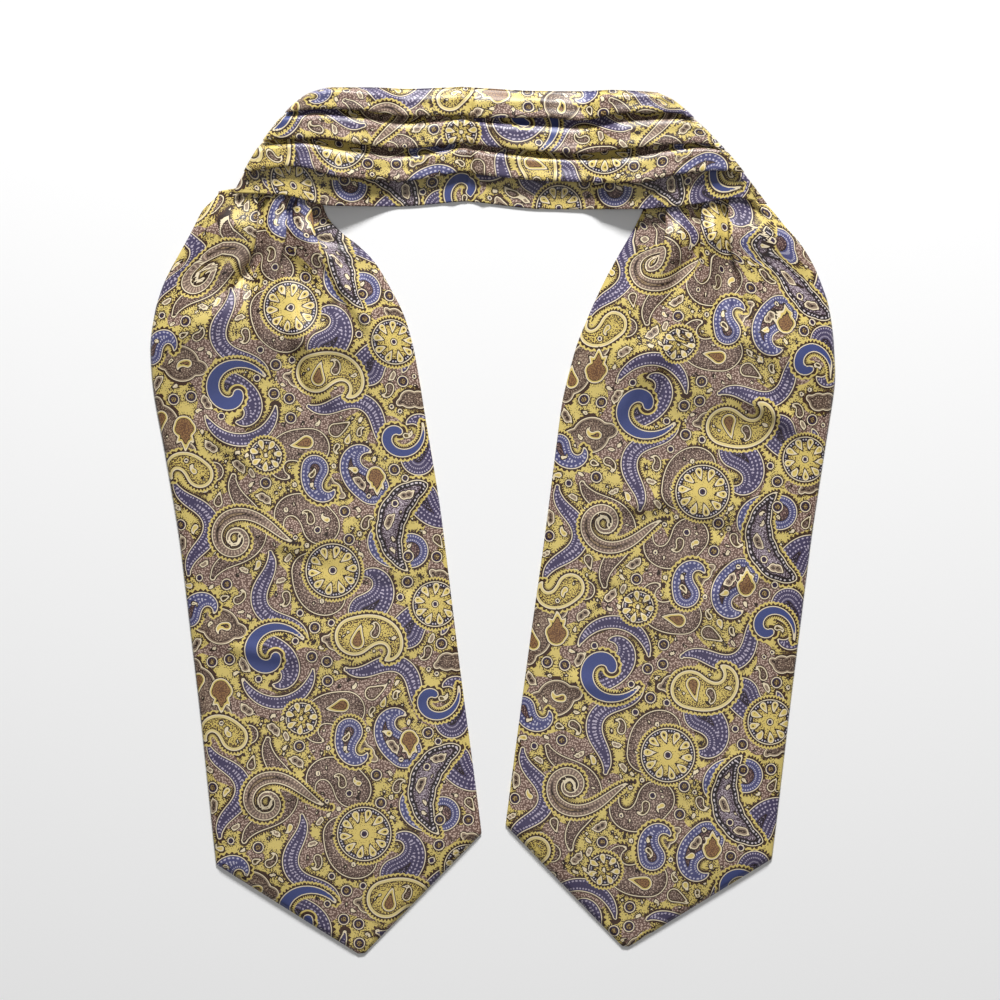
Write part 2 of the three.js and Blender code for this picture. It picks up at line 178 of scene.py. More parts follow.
one_row = [np.zeros(1) + v for v in (0, 60, 15, 30, 45, 8, 10, 10, 4, 4, 4, 1, 1, 1)]
trial = pleated_section(one_row[0], one_row[1], one_row[2:5], one_row[5:8], one_row[8:11], one_row[11:],
                        FOLD_RADIUS)
print("points that draw it, and its height in mm:", trial.shape[1], trial[..., 1].max())

# %% [markdown]
# An ordinary spline through those points would swing where a tight turn lies beside a flat strip,
# and the strip would look wavy. This curve leaves each point in a direction weighted to the shorter
# neighbouring stretch, so the strip stays flat right up to its fold.

# %% A fair curve
def smooth_curve(points, counts):
    """A fair curve through each row of points, with a fixed number of steps between them."""
    chord = np.sqrt(np.linalg.norm(np.diff(points, axis=1), axis=2)) + 1e-6
    rate = np.diff(points, axis=1) / chord[..., None]
    slope = np.empty_like(points)
    before, after = chord[:, :-1, None], chord[:, 1:, None]
    slope[:, 1:-1] = (rate[:, :-1] * after + rate[:, 1:] * before) / (before + after)
    slope[:, 0], slope[:, -1] = rate[:, 0], rate[:, -1]
    parts = []
    for i, count in enumerate(counts):
        t = np.linspace(0, 1, count, endpoint=False)[None, :, None]
        a, b, gap = points[:, i, None], points[:, i + 1, None], chord[:, i, None, None]
        rise = t * t * (3 - 2 * t)
        ends = t * (1 - t) ** 2 * slope[:, i, None] + t * t * (t - 1) * slope[:, i + 1, None]
        parts.append(a + (b - a) * rise + gap * ends)
    parts.append(points[:, -1:])
    return np.concatenate(parts, axis=1)


print("points on the curve:", smooth_curve(trial, SECTION_STEPS).shape[1])

# %% [markdown]
# ## The printed paisley
#
# The silk is printed with a paisley: curled teardrops, spirals, crescents and round flower fans
# on a yellow ground, with rows of pin dots and fine cream outlines. A picture could be laid on
# the cloth, but it blurs close up. Here each motif is drawn the way a brush draws it, as a round
# dab that travels along a curling line and swells and thins. For every point of the cloth we then
# work out how deep it lies inside the nearest motif and how far along that motif it is. The
# outlines, bands and pin dots follow those two numbers, so they stay sharp however the cloth is
# folded.
#
# Each of the shapes below gives the places of its dabs, x and y, and how wide they are, all for a
# motif whose widest dab is about 1.

# %% A line to draw along
REPEAT = 152.0
REACH = 7.0


def walk(length, steps, turned):
    """A line from the origin, heading up, turned to the right by an amount given along it."""
    t = np.linspace(0, 1, steps)
    heading = np.pi / 2 - turned(t)
    step = length / (steps - 1)
    x = np.concatenate([[0], np.cumsum(np.cos(heading[:-1])) * step])
    y = np.concatenate([[0], np.cumsum(np.sin(heading[:-1])) * step])
    return t, x, y


half_round = walk(1, 50, lambda t: np.pi * t)
print("a line that turns half round ends at:", [round(float(v[-1]), 2) for v in half_round[1:]])

# %% Curling motifs
def boteh():
    """A curled teardrop, the motif that makes a print a paisley."""
    t, x, y = walk(3.5, 44, lambda t: 3.6 * t ** 1.7)
    return x - 0.4, y - 0.8, 0.04 + 0.96 * (1 - t) ** 0.7


def swirl():
    """A thick comma that winds inwards."""
    a = np.linspace(0, 5.6, 90)
    out = 1.25 * np.exp(-0.3 * a)
    width = 0.03 + 0.23 * np.sin(np.pi * np.clip(0.05 + 0.72 * a / a[-1], 0, 1)) ** 0.7
    return out * np.cos(a), out * np.sin(a), width


def curl():
    """A long stem that winds into a spiral at its wide end."""
    t, x, y = walk(9.5, 150, lambda t: 14 * np.log(1 + 7 * t) / np.log(8) - 2.4 * t ** 6)
    swell = (0.1 + 0.42 * t ** 1.1) * np.clip((1 - t) / 0.4, 0.04, 1) ** 0.7
    return x, y - 0.3, swell


def crescent():
    """A scalloped moon."""
    a = np.radians(np.linspace(-64, 64, 70))
    t = np.linspace(0, 1, 70)
    swell = 0.8 * np.sin(np.pi * t ** 0.8) ** 0.8
    return 3 * np.cos(a) - 2.4, 3 * np.sin(a), 0.06 + swell * (1 + 0.13 * np.abs(np.sin(6 * np.pi * t)))


print("dabs in a boteh, swirl, curl and crescent:", [len(m()[0]) for m in (boteh, swirl, curl, crescent)])

# %% Leaves, ribbons and drops
def leaf():
    """A lobed leaf that leans a little."""
    t, x, y = walk(3.4, 60, lambda t: 1.2 * t ** 1.3)
    swell = 0.1 + 0.7 * np.sin(np.pi * np.clip(t * 0.95 + 0.05, 0, 1)) ** 0.8
    return x, y - 1.6, swell * (1 + 0.28 * np.cos(2 * np.pi * 3.2 * t))


def ribbon():
    """An even arc."""
    t, x, y = walk(6.0, 60, lambda t: 2.7 * t)
    return x - 1.6, y - 1.6, 0.05 + 0.42 * np.sin(np.pi * np.clip(t, 0.02, 0.98)) ** 0.45


def wave():
    """An even line with a double bend."""
    t, x, y = walk(5.5, 60, lambda t: 0.9 * np.sin(2 * np.pi * t))
    return x, y - 2.5, 0.05 + 0.4 * np.sin(np.pi * np.clip(t, 0.02, 0.98)) ** 0.45


def drop():
    """A small teardrop, used for petals too."""
    t = np.linspace(0, 1, 12)
    return 0.3 * t ** 2, 2.5 * t - 0.7, 0.05 + 0.95 * (1 - t) ** 0.9


def dab():
    """A single round dab."""
    return np.zeros(1), np.zeros(1), np.ones(1)


print("dabs in a leaf, a ribbon, a wave and a drop:", [len(m()[0]) for m in (leaf, ribbon, wave, drop)])

# %% [markdown]
# ## Putting a motif on the cloth
#
# A shape is only a line of dabs. To print it, it is turned, sized and moved to its place, and
# every point of the cloth near it asks which dab it lies deepest in. A point remembers the depth,
# the length run along the motif and the kind of motif, which decides its colours later. The
# motifs could be cut out as meshes of their own, but they would have to be folded with the cloth,
# and three numbers on each point of the cloth fold with it by themselves.

# %% Kinds of motif
KINDS = ("swirl", "horn", "curl", "flower", "blue", "crescent", "taupe", "violet", "night", "leaf",
         "drop", "petal", "heart")
SHAPES = {"boteh": boteh, "swirl": swirl, "curl": curl, "crescent": crescent, "leaf": leaf,
          "ribbon": ribbon, "wave": wave, "drop": drop, "dab": dab}
print("shapes:", len(SHAPES), "ways to colour them:", len(KINDS))

# %% Placing a motif
def placed(shape, across, along, size, turned, flip):
    """The dabs of one motif where it lies on the strip: places, radii and distance along it."""
    x, y, r = SHAPES[shape]()
    a = math.radians(turned)
    cx = across + size * (flip * x * math.cos(a) - y * math.sin(a))
    cy = along + size * (flip * x * math.sin(a) + y * math.cos(a))
    run = np.concatenate([[0], np.cumsum(np.hypot(np.diff(cx), np.diff(cy)))])
    return cx, cy, r * size, run


print("a boteh of size 10 is long, mm:", round(float(placed("boteh", 0, 0, 10, 0, 1)[3][-1]), 1))

# %% Printing motifs
def imprint(u, v, found, dabs, number):
    """Lay one motif on points of the cloth, wherever it comes round within their length."""
    cx, cy, r, along = dabs
    reach = r.max() + REACH
    first = math.floor((v.min() - cy.max() - reach) / REPEAT)
    last = math.ceil((v.max() - cy.min() + reach) / REPEAT)
    close = (u > cx.min() - reach) & (u < cx.max() + reach)
    for turn in range(first, last + 1):
        sy = cy + turn * REPEAT
        near = np.flatnonzero(close & (v > sy.min() - reach) & (v < sy.max() + reach))
        if not len(near):
            continue
        dx, dy = u[near, None] - cx, v[near, None] - sy
        inside = r - np.hypot(dx, dy)
        best = inside.argmax(axis=1)
        deep = inside[np.arange(len(near)), best]
        better = deep > found["depth"][near]
        at, b = near[better], best[better]
        angle = np.arctan2(dy[better, b], dx[better, b])
        found["depth"][at] = deep[better]
        found["kind"][at] = number / len(KINDS)
        found["run"][at] = along[b] + (b == 0) * r[0] * (angle + np.pi)


def lay(u, v, motifs):
    """The print's numbers at points of the cloth, for a list of motifs."""
    found = {"depth": np.full(len(u), -REACH), "run": np.zeros(len(u)), "kind": np.zeros(len(u))}
    for shape, kind, *place in motifs:
        imprint(u, v, found, placed(shape, *place), KINDS.index(kind))
    return found


trial = lay(np.array([0.0, 30.0]), np.array([0.0, 0.0]), [("dab", "heart", 0, 0, 5, 0, 1)])
print("depth at the middle of a 5 mm dab, and far from it:", trial["depth"])

# %% [markdown]
# ## Sowing the small motifs
#
# A print repeats along the strip. Its large motifs are given in a list, because they set its rhythm. Behind
# them lie ribbons and plain botehs, and over them small drops, petals and rosettes, far too many to place
# one by one. Both are sown in whatever room is left, largest first, as a designer fills the gaps of a
# paisley. The room is measured on a grid of points 1 mm apart over one repeat, and a fixed seed sows the
# same print every time.

# %% The grid of one repeat
STRIP = 152
ROUND = int(REPEAT)
GRID_U, GRID_V = (a.ravel() for a in np.meshgrid(np.arange(STRIP + 1.0), np.arange(ROUND + 0.0)))
print("points in the grid:", len(GRID_U))

# %% Sowing
def off_round(v, middle):
    """Distance along the strip, the short way round the repeat."""
    return (v - middle + REPEAT / 2) % REPEAT - REPEAT / 2


def sow(choices, sizes, room, gap, seed, tries):
    """Scatter motifs where there is room for all their dabs, the largest first."""
    rng = np.random.default_rng(seed)
    room = room.copy()
    sown = []
    for size in sizes:
        for _ in range(tries):
            shape, kind, share = choices[rng.integers(len(choices))]
            place = (rng.uniform(0, STRIP), rng.uniform(0, REPEAT), size * share, rng.uniform(0, 360),
                     rng.choice((-1, 1)))
            cx, cy, r, _ = placed(shape, *place)
            column = np.clip(np.round(cx), 0, STRIP).astype(int)
            cell = column + (STRIP + 1) * (np.round(cy).astype(int) % ROUND)
            if (room[cell] < r + gap).any():
                continue
            sown.append((shape, kind, *place))
            for x, y, radius in zip(cx[::3], cy[::3], r[::3]):
                room = np.minimum(room, np.hypot(GRID_U - x, off_round(GRID_V, y)) - radius)
    return sown


everywhere = np.full(GRID_U.shape, 40.0)
print("dabs sown on empty cloth:", len(sow((("dab", "heart", 1.0),), (15,), everywhere, 1.0, 1, 60)))

# %% [markdown]
# A flower is one large dab for its rim, a ring of drops for its petals and a small dab for its
# heart. The half flowers are three drops that spread from one place.

# %% Flowers
def flower(across, along, size, petals):
    """A round flower: a dotted rim, a ring of petals and a heart."""
    rim = [("dab", "flower", across, along, size, 0, 1)]
    parts = [("dab", "heart", across, along, 0.17 * size, 0, 1)]
    out, petal = 0.64 * size, 1.615 * size / petals
    for i in range(petals):
        a = 2 * math.pi * i / petals
        parts.append(("drop", "petal", across + out * math.cos(a), along + out * math.sin(a),
                      petal, math.degrees(a) + 90, 1))
    return rim, parts


RIMS = []
GROWN = []
for across, along, size, petals in ((86, 70, 16, 10), (142, 44, 13.5, 9), (58, 140, 9.5, 7)):
    rim, parts = flower(across, along, size, petals)
    RIMS += rim
    GROWN += parts
for across, along, size in ((14, 6, 5.0), (118, 118, 4.2)):
    for lean, longer in ((-42, 1), (0, 1.25), (42, 1)):
        GROWN.append(("drop", "petal", across, along, size * longer, 180 + lean, 1))
print("flowers:", len(RIMS), "their petals and hearts:", len(GROWN))

# %% [markdown]
# ## The repeat
#
# Each row of this list is a motif: its shape and kind, its place across and along the strip, the
# size of its widest dab, how far it is turned in degrees, and which way it curls.

# %% Motifs given in a list
PLACED = [
    ("swirl", "swirl", 44, 26, 17.5, 20, 1),
    ("boteh", "horn", 104, 30, 11.5, -70, 1),
    ("curl", "curl", 36, 92, 12.0, 200, 1),
    ("crescent", "crescent", 128, 92, 9.5, 160, 1),
    ("boteh", "blue", 84, 122, 8.2, 150, -1),
    ("boteh", "horn", 12, 138, 8.5, 30, -1),
    ("swirl", "swirl", 134, 142, 13.5, 200, -1),
    ("boteh", "blue", 6, 58, 7.6, -30, 1),
] + RIMS
print("placed:", len(PLACED))

# %% Motifs sown between them
BEHIND = (("boteh", "taupe", 0.75), ("ribbon", "violet", 0.85), ("boteh", "violet", 0.7),
          ("ribbon", "night", 0.7), ("wave", "taupe", 0.9), ("boteh", "blue", 0.7),
          ("leaf", "leaf", 0.75), ("wave", "violet", 0.8))
SMALL = (("drop", "drop", 0.6), ("drop", "petal", 0.6), ("dab", "heart", 0.5), ("leaf", "leaf", 0.4),
         ("boteh", "drop", 0.4), ("boteh", "petal", 0.4))
OPEN_INSIDE = ("horn", "crescent", "blue", "taupe", "leaf", "curl")
HALO_ROOM = 1.5
LINES_ROOM = 2.4

UNDER = sow(BEHIND, (15, 11, 8), everywhere, gap=1.6, seed=5, tries=700)
under, over = lay(GRID_U, GRID_V, UNDER), lay(GRID_U, GRID_V, PLACED)
grown = lay(GRID_U, GRID_V, GROWN)
is_over = over["depth"] > -HALO_ROOM
top = np.where(is_over, over["depth"], under["depth"])
kind = np.where(is_over, over["kind"], under["kind"])
is_open = np.isin(np.round(kind * len(KINDS)), [KINDS.index(k) for k in OPEN_INSIDE])
room = np.where(top < 0, -top, np.where(is_open, top - LINES_ROOM, -1))
room = np.minimum(room, -grown["depth"])
FILLING = GROWN + sow(SMALL, (7.5, 5.2, 3.8, 2.6), room, gap=0.5, seed=7, tries=1500)
print("behind:", len(UNDER), "small:", len(FILLING))
LAYERS = {"under": UNDER, "over": PLACED, "small": FILLING}

# %% [markdown]
# ## Sheets of printed cloth
#
# A sheet is a net of points: rows along the strip and columns across it. It could start as a
# subdivided plane that is pushed into shape, but the rows and columns of a net can follow the
# folds and lie closest where the cloth turns most. Each point also knows its place on the flat
# cloth, across and along, and carries the print's numbers from there. The net then gets the
# cloth's thickness from a Solidify modifier, which is applied.

# %% Printing a mesh
CLOTH = 0.4


def print_on(mesh, across, along):
    """Store the cloth's own measure and the print's numbers on the points of a mesh."""
    values = {"across": across, "along": along}
    for layer, motifs in LAYERS.items():
        for key, found in lay(across, along, motifs).items():
            values[f"{layer}_{key}"] = found
    for name, numbers in values.items():
        stored = mesh.attributes.new(name, "FLOAT", "POINT")
        stored.data.foreach_set("value", numbers.astype(np.float32))


print("thickness of a sheet, mm:", CLOTH, "numbers printed on each point:", 2 + 3 * len(LAYERS))

# %% Putting a piece in the scene
def put_down(piece):
    """Put an object in the scene, chosen and active, so that Blender's tools work on it."""
    bpy.ops.object.select_all(action="DESELECT")
    scene.collection.objects.link(piece)
    piece.select_set(True)
    bpy.context.view_layer.objects.active = piece


def printed(name, points, faces, across, along):
    """A printed mesh in the scene, from points in mm and the faces between them."""
    mesh = bpy.data.meshes.new(name)
    mesh.from_pydata((points * MM).tolist(), [], faces)
    mesh.update()
    print_on(mesh, across, along)
    piece = bpy.data.objects.new(name, mesh)
    put_down(piece)
    return piece


# %% Making a sheet
def net(name, points, across, along):
    """A closed thin sheet from a net of points in mm, shaped (rows, columns, 3)."""
    rows, columns = points.shape[:2]
    index = np.arange(rows * columns).reshape(rows, columns)
    corners = [index[:-1, :-1], index[:-1, 1:], index[1:, 1:], index[1:, :-1]]
    quads = np.stack(corners, axis=-1).reshape(-1, 4)
    piece = printed(name, points.reshape(-1, 3), quads.tolist(), across.ravel(), along.ravel())
    mesh = piece.data
    if mesh.polygons[len(mesh.polygons) // 2].normal.z < 0:
        mesh.flip_normals()
    solid = piece.modifiers.new("thickness", "SOLIDIFY")
    solid.thickness = CLOTH * MM
    solid.offset = 0
    bpy.ops.object.modifier_apply(modifier="thickness")
    bpy.ops.object.shade_smooth()
    print(name, "points:", len(piece.data.vertices), "triangles:", 2 * len(piece.data.polygons))
    return piece


def length_across(points):
    """Distance along each row of a net, counted from the middle of the row."""
    run = np.cumsum(np.linalg.norm(np.diff(points, axis=1), axis=2), axis=1)
    run = np.concatenate([np.zeros((len(points), 1)), run], axis=1)
    return run - run[:, -1:] / 2


print("across a flat row of 4 mm:", length_across(np.array([[[0, 0, 0], [1, 0, 0], [4, 0, 0]]]))[0])

# %% [markdown]
# ## The blades
#
# Each blade is two layers seamed round the edge and turned right side out, 152 mm wide, with a
# straight-sided point. At the top its whole width is gathered into three pleats that come out
# from under the neckband, billow, and die away over the first 80 mm. Sculpting could give such
# gathers, but a pleat that is written down as an edge, a depth and a step can be moved against
# the photograph one number at a time.

# %% Sizes that both blades share
SEAT = 1.8
SEAM_DROP = 1.15
POINT_LENGTH = 62.0
BLUNT_TIP = 1.5
TUCK_START = 4.0
TUCK_RUN = 24.0
print("the front layer rests this high over the table, mm:", SEAT)

# %% [markdown]
# Each blade has a table of its outline and one of its pleats, read at distances up from its tip.
# The outer edge is away from the middle of the cravat, so it is a negative distance across. The
# soft ridges are hills of cloth: their place up and across, half their length, half their width,
# their height and how far they slant. A crease runs from one place (across, up) to another and
# has half a width and a height, which is negative for a trough.

# %% Measurements of the left blade
LEFT = {
    "side": 1, "x": -75.0, "y": -249.6, "lean": 6.69, "band_up": 438.8, "band_slope": -0.32,
    "step_shares": (0.6, 0.85, 1.0),
    "outline": table(
        "up outer inner crown",
        (BLUNT_TIP, -1.9, 1.9, 0.1), (POINT_LENGTH, -76.8, 76.5, 3.4), (160, -75.8, 75.2, 4.0),
        (240, -75.9, 74.8, 4.2), (300, -78.5, 72.4, 5.0), (340, -80.9, 70.4, 7.0),
        (360, -79.9, 67.5, 8.5), (380, -75.3, 60.6, 5.8), (395, -69.0, 53.7, 2.6),
        (405, -62.8, 46.0, 2.6), (415, -55.6, 36.0, 3.2), (425, -48.5, 29.5, 4.0),
        (436, -41.0, 27.5, 4.0), (446, -30.5, 27.0, 4.0),
    ),
    "pleats": table(
        "up edge1 edge2 edge3 depth step held",
        (300, -42, -6, 48, -14, 0.0, 0), (345, -42, -6, 48, -14, 0.6, 0.4),
        (370, -38, -5, 44, -12, 1.8, 1), (385, -32, -3, 40, -8, 3.8, 1),
        (397, -24, -1, 33, -2, 5.4, 1), (406, -16, 2, 25, 3, 6.2, 1),
        (416, -12, 5.5, 22, 6, 6.4, 1), (428, -10, 7, 21.5, 6, 6.4, 1),
        (446, -8, 7, 21, 6, 6.4, 1),
    ),
    "ridges": (
        (372, -45, 26, 9, 2.6, 0.25), (352, 22, 30, 10, 2.2, -0.3), (330, -40, 30, 12, -1.8, 0.2),
        (243, -10, 60, 11, 1.5, 0.06), (180, 12, 55, 13, 1.3, -0.08), (105, -14, 50, 15, 0.9, 0.12),
    ),
    "creases": (
        (20, 413, 43, 407, 2.4, -1.8), (-9, 409, -27, 391, 3.4, -2.8), (-1, 440, -7, 410, 5.0, -1.4),
        (16, 434, 9, 400, 4.2, 0.9), (-22, 428, -32, 396, 7.0, 1.4), (-33, 409, -64, 358, 6.5, 1.7),
        (-45, 404, -72, 345, 3.4, -1.3), (30, 393, 56, 345, 5.0, 2.0), (22, 398, 44, 352, 2.8, -1.4),
        (-55, 386, -76, 330, 4.0, 1.5), (6, 366, 30, 305, 7.0, 1.7), (-4, 372, 8, 318, 4.0, -1.5),
        (-49, 311, -22, 281, 5.0, 1.4), (71, 268, 36, 232, 5.5, 1.5), (-68, 192, -12, 175, 5.0, 1.4),
        (-2, 149, 54, 147, 5.0, 1.0), (-60, 96, -4, 104, 6.0, 1.0), (20, 214, 66, 205, 4.5, -1.0),
        (-40, 246, 10, 222, 4.0, -1.0),
    ),
}
print("left blade, length and creases:", LEFT["outline"]["up"][-1], len(LEFT["creases"]))

# %% Measurements of the right blade
RIGHT = {
    "side": -1, "x": 76.2, "y": -245.5, "lean": -7.27, "band_up": 433.2, "band_slope": -0.25,
    "step_shares": (0.65, 0.9, 1.0),
    "outline": table(
        "up outer inner crown",
        (BLUNT_TIP, -1.9, 1.9, 0.1), (POINT_LENGTH, -77.1, 77.0, 3.4), (160, -76.4, 76.5, 4.0),
        (240, -76.3, 75.6, 4.2), (300, -77.6, 75.6, 5.5), (335, -78.5, 72.2, 8.5),
        (357, -75.6, 67.0, 8.0), (380, -69.7, 59.8, 4.4), (395, -62.6, 53.9, 2.8),
        (405, -56.5, 49.7, 3.0), (415, -48.2, 45.8, 4.0), (424, -38.0, 43.2, 4.0),
        (433, -28.5, 42.5, 4.0), (438, -21.0, 42.0, 4.0),
    ),
    "pleats": table(
        "up edge1 edge2 edge3 depth step held",
        (290, -34, 6, 48, -14, 0.0, 0), (335, -34, 6, 48, -14, 0.8, 0.4),
        (360, -28, 7.4, 44, -12, 2.2, 1), (380, -20, 8.0, 38, -7, 4.2, 1),
        (393, -15, 8.4, 33, -2, 5.8, 1), (403, -10, 8.6, 29.5, 3, 6.4, 1),
        (413, -7, 9.2, 29.5, 6, 6.6, 1), (423, -5.5, 10, 30.5, 6, 6.6, 1),
        (438, -4.5, 10.5, 31, 6, 6.6, 1),
    ),
    "ridges": (
        (352, -38, 26, 10, 2.4, 0.3), (340, 34, 28, 11, 2.2, -0.2), (300, -30, 36, 12, -1.8, 0.15),
        (262, 4, 60, 12, 1.6, 0.07), (196, -18, 52, 13, 1.1, -0.1), (112, 16, 48, 15, 0.9, 0.1),
    ),
    "creases": (
        (25, 426, 13, 372, 5.0, 1.1), (9.7, 427, 6, 358, 2.2, -2.1), (4, 421, 0, 368, 2.6, 1.1),
        (-10, 431, -33, 381, 6.0, -1.4), (-19, 425, -46, 380, 5.0, 1.4), (36, 418, 52, 372, 4.0, -1.4),
        (41, 402, 58, 355, 5.0, 1.3), (-44, 384, -67, 336, 5.0, 2.0), (-33, 374, -52, 322, 3.2, -1.7),
        (28, 345, 53, 292, 7.0, 1.7), (12, 352, 27, 300, 4.0, -1.4), (-25, 323, -64, 307, 5.0, 1.9),
        (58, 240, 4, 261, 5.0, 1.4), (-17, 204, -63, 228, 5.0, 1.2), (58, 150, 7, 142, 5.5, 1.0),
        (-19, 94, -60, 118, 6.0, 1.0), (44, 205, 2, 190, 4.0, -1.0), (-8, 248, -52, 236, 4.0, -1.0),
    ),
}
print("right blade, length and creases:", RIGHT["outline"]["up"][-1], len(RIGHT["creases"]))

# %% [markdown]
# ## The form of a blade
#
# The rows of a sheet lie closer together in the gathers than in the plain cloth, where little
# happens between one row and the next. The sides of the point are straight, so they are joined by
# a line and not by a curve. Next to the neckband the cloth keeps low, because the band lies on
# it.

# %% Rows and edges of a blade
PLAIN_END = 300
FRONT_ROWS = (1.55, 1.15)
BACK_ROWS = (2.2, 2.2)


def blade_rows(blade, step_plain, step_root):
    """The distances up a blade at which its rows lie, closer together in the gathers."""
    root = blade["outline"]["up"][-1]
    plain = np.arange(BLUNT_TIP, PLAIN_END, step_plain)
    return np.concatenate([plain, np.linspace(PLAIN_END, root, round((root - PLAIN_END) / step_root))])


def blade_edge(blade, up, column):
    """One edge of the blade: straight along the point, then a fair curve."""
    tip, shoulder = blade["outline"][column][:2]
    straight = mix(tip, shoulder, (up - BLUNT_TIP) / (POINT_LENGTH - BLUNT_TIP))
    return np.where(up < POINT_LENGTH, straight, read(blade["outline"], column, up))


def clear_of_band(blade, up, s):
    """From 0 where the band lies on the blade to 1 well clear of it."""
    return ease(blade["band_up"] + blade["band_slope"] * s - up, TUCK_START, TUCK_RUN)


print("rows of a front layer:", len(blade_rows(LEFT, *FRONT_ROWS)))

# %% [markdown]
# Over its seams the front layer stands in a low crown, with the soft ridges and the creases on
# top. A noise could wrinkle the cloth all over, but real creases are few, long and have a cause, so
# each is placed where the cloth is pulled or pushed. It fades out at both ends and bends a little,
# and its depth falls off softly to its sides.

# %% Crown, ridges and creases
CREASE_BEND = 0.12
FADE_IN = (-0.25, 0.25)
FADE_OUT = (0.6, 1.3)


def blade_rise(blade, up, s, outer, inner):
    """Height of the front layer over its seams, from its crown and its soft ridges."""
    t = np.clip((s - outer) / (inner - outer), 0, 1)
    fade = 1 - (2 * t - 1) ** 4
    height = read(blade["outline"], "crown", up) * fade
    for ridge_up, across, reach, width, tall, slope in blade["ridges"]:
        off = s - across
        over = (up - ridge_up - slope * off) / width
        height = height + tall * fade * np.exp(-over ** 2 - (off / reach) ** 2)
    return np.maximum(height, 0)


def blade_creases(blade, up, s, swap=1):
    """The creases that lie in the cloth: soft, and fading out towards both of their ends."""
    height = 0 * s
    for s0, up0, s1, up1, width, tall in blade["creases"]:
        length = math.hypot(s1 - s0, up1 - up0)
        ahead = ((s - s0) * (s1 - s0) + (up - up0) * (up1 - up0)) / length
        aside = ((s - s0) * (up1 - up0) - (up - up0) * (s1 - s0)) / length
        t = ahead / length
        along = ease(t, *FADE_IN) * (1 - ease(t, *FADE_OUT))
        bend = aside - swap * CREASE_BEND * length * t * (1 - t)
        height = height + tall * along * np.exp(-(bend / width) ** 2)
    return height


print("height in the middle of the left blade, mm:",
      round(float(blade_rise(LEFT, np.array([240.0]), 0.0, -75.9, 74.8)[0]), 2))

# %% [markdown]
# Each blade is drawn straight, with its tip at the origin, and then turned and moved to its place.
# The back layer lies flat on the table, with shallow wrinkles on its hidden side. The front layer
# follows the pleated section at each row, and dips to the back layer along the seam.

# %% A blade's place on the table
SHIFT = (0.0, 0.0)


def stand(blade, points):
    """Turn and move a blade's points from its own measure to its place on the table."""
    a = math.radians(blade["lean"])
    x, y = points[..., 0] * blade["side"], points[..., 1]
    return np.stack([
        blade["x"] + x * math.cos(a) - y * math.sin(a) + SHIFT[0],
        blade["y"] + x * math.sin(a) + y * math.cos(a) + SHIFT[1],
        points[..., 2],
    ], axis=-1)


print("tip of the left blade, mm:", stand(LEFT, np.zeros(3)))

# %% The back layer
BACK_HEIGHT = 0.3
WRINKLE = 0.5
FLAT_EDGE = 14


def back_points(blade, columns=3):
    """Net of the back layer, flat on the table but for shallow wrinkles underneath."""
    up = blade_rows(blade, *BACK_ROWS)
    outer, inner = blade_edge(blade, up, "outer"), blade_edge(blade, up, "inner")
    t = np.linspace(0, 1, columns)
    s = outer[:, None] + (inner - outer)[:, None] * t
    up = np.repeat(up[:, None], columns, axis=1)
    edge = np.minimum(s - outer[:, None], inner[:, None] - s)
    wrinkle = np.clip(-0.5 * blade_creases(blade, up, s, swap=-1), 0, WRINKLE)
    return np.stack([s, up, BACK_HEIGHT + wrinkle * ease(edge, 0, FLAT_EDGE)], axis=-1)


own_low = stand(LEFT, back_points(LEFT)).min(axis=(0, 1))
cad_low = np.array(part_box("blade_left_back")[0]) / MM
SHIFT = (float(cad_low[0] - own_low[0]), float(cad_low[1] - own_low[1]))
print("the solids' frame lies off the measured one by, mm:", [round(v, 2) for v in SHIFT])

# %% The front layer
PLAIN_FOLDS = (0.2, 0.47, 0.74)
PLEAT_SHARES = (1, 1, 0.9)
SEAM_WIDTH = 2.0
TIP_SHARE = 0.6
PLAIN_TIP = (20, 60)
LOWEST = SEAT - 0.6


def front_points(blade):
    """Net of the front layer: pleated at the root, creased, and dipping at its seams."""
    up = blade_rows(blade, *FRONT_ROWS)
    outer, inner = blade_edge(blade, up, "outer"), blade_edge(blade, up, "inner")
    width = inner - outer
    held = read(blade["pleats"], "held", up)
    depth = read(blade["pleats"], "depth", up)
    step = read(blade["pleats"], "step", up)
    edges = [mix(outer + share * width, read(blade["pleats"], f"edge{i + 1}", up), held)
             for i, share in enumerate(PLAIN_FOLDS)]
    depths = [mix(-width / 12, depth * share, held) for share in PLEAT_SHARES]
    steps = [mix(np.minimum(step * share, PLEAT_STEP), step * share, clear_of_band(blade, up, e))
             for e, share in zip(edges, blade["step_shares"])]
    none = [0 * up] * 3
    section = pleated_section(outer, inner, edges, depths, steps, none,
                              mix(width / 40, FOLD_RADIUS, held))
    curve = smooth_curve(section, SECTION_STEPS)
    s, h = curve[..., 0], curve[..., 1]
    up = np.repeat(up[:, None], s.shape[1], axis=1)
    rise = blade_rise(blade, up, s, outer[:, None], inner[:, None])
    edge = np.minimum(s - outer[:, None], inner[:, None] - s)
    creased = blade_creases(blade, up, s) * ease(edge, 0, FLAT_EDGE) * ease(up, *PLAIN_TIP)
    clear = clear_of_band(blade, up, s)
    z = SEAT + clear * (rise + creased) + h
    z = np.maximum(z, LOWEST)
    tip = (up - BLUNT_TIP) * TIP_SHARE
    z -= SEAM_DROP * np.exp(-(np.minimum(edge, tip) / SEAM_WIDTH) ** 2)
    return np.stack([s, up, z], axis=-1)


print("top of the left blade's gathers, mm:", round(float(front_points(LEFT)[..., 2].max()), 1))

# %% [markdown]
# The print starts at another place of its repeat on each layer, and runs the other way on the
# right blade, because the strip is folded round on itself there.

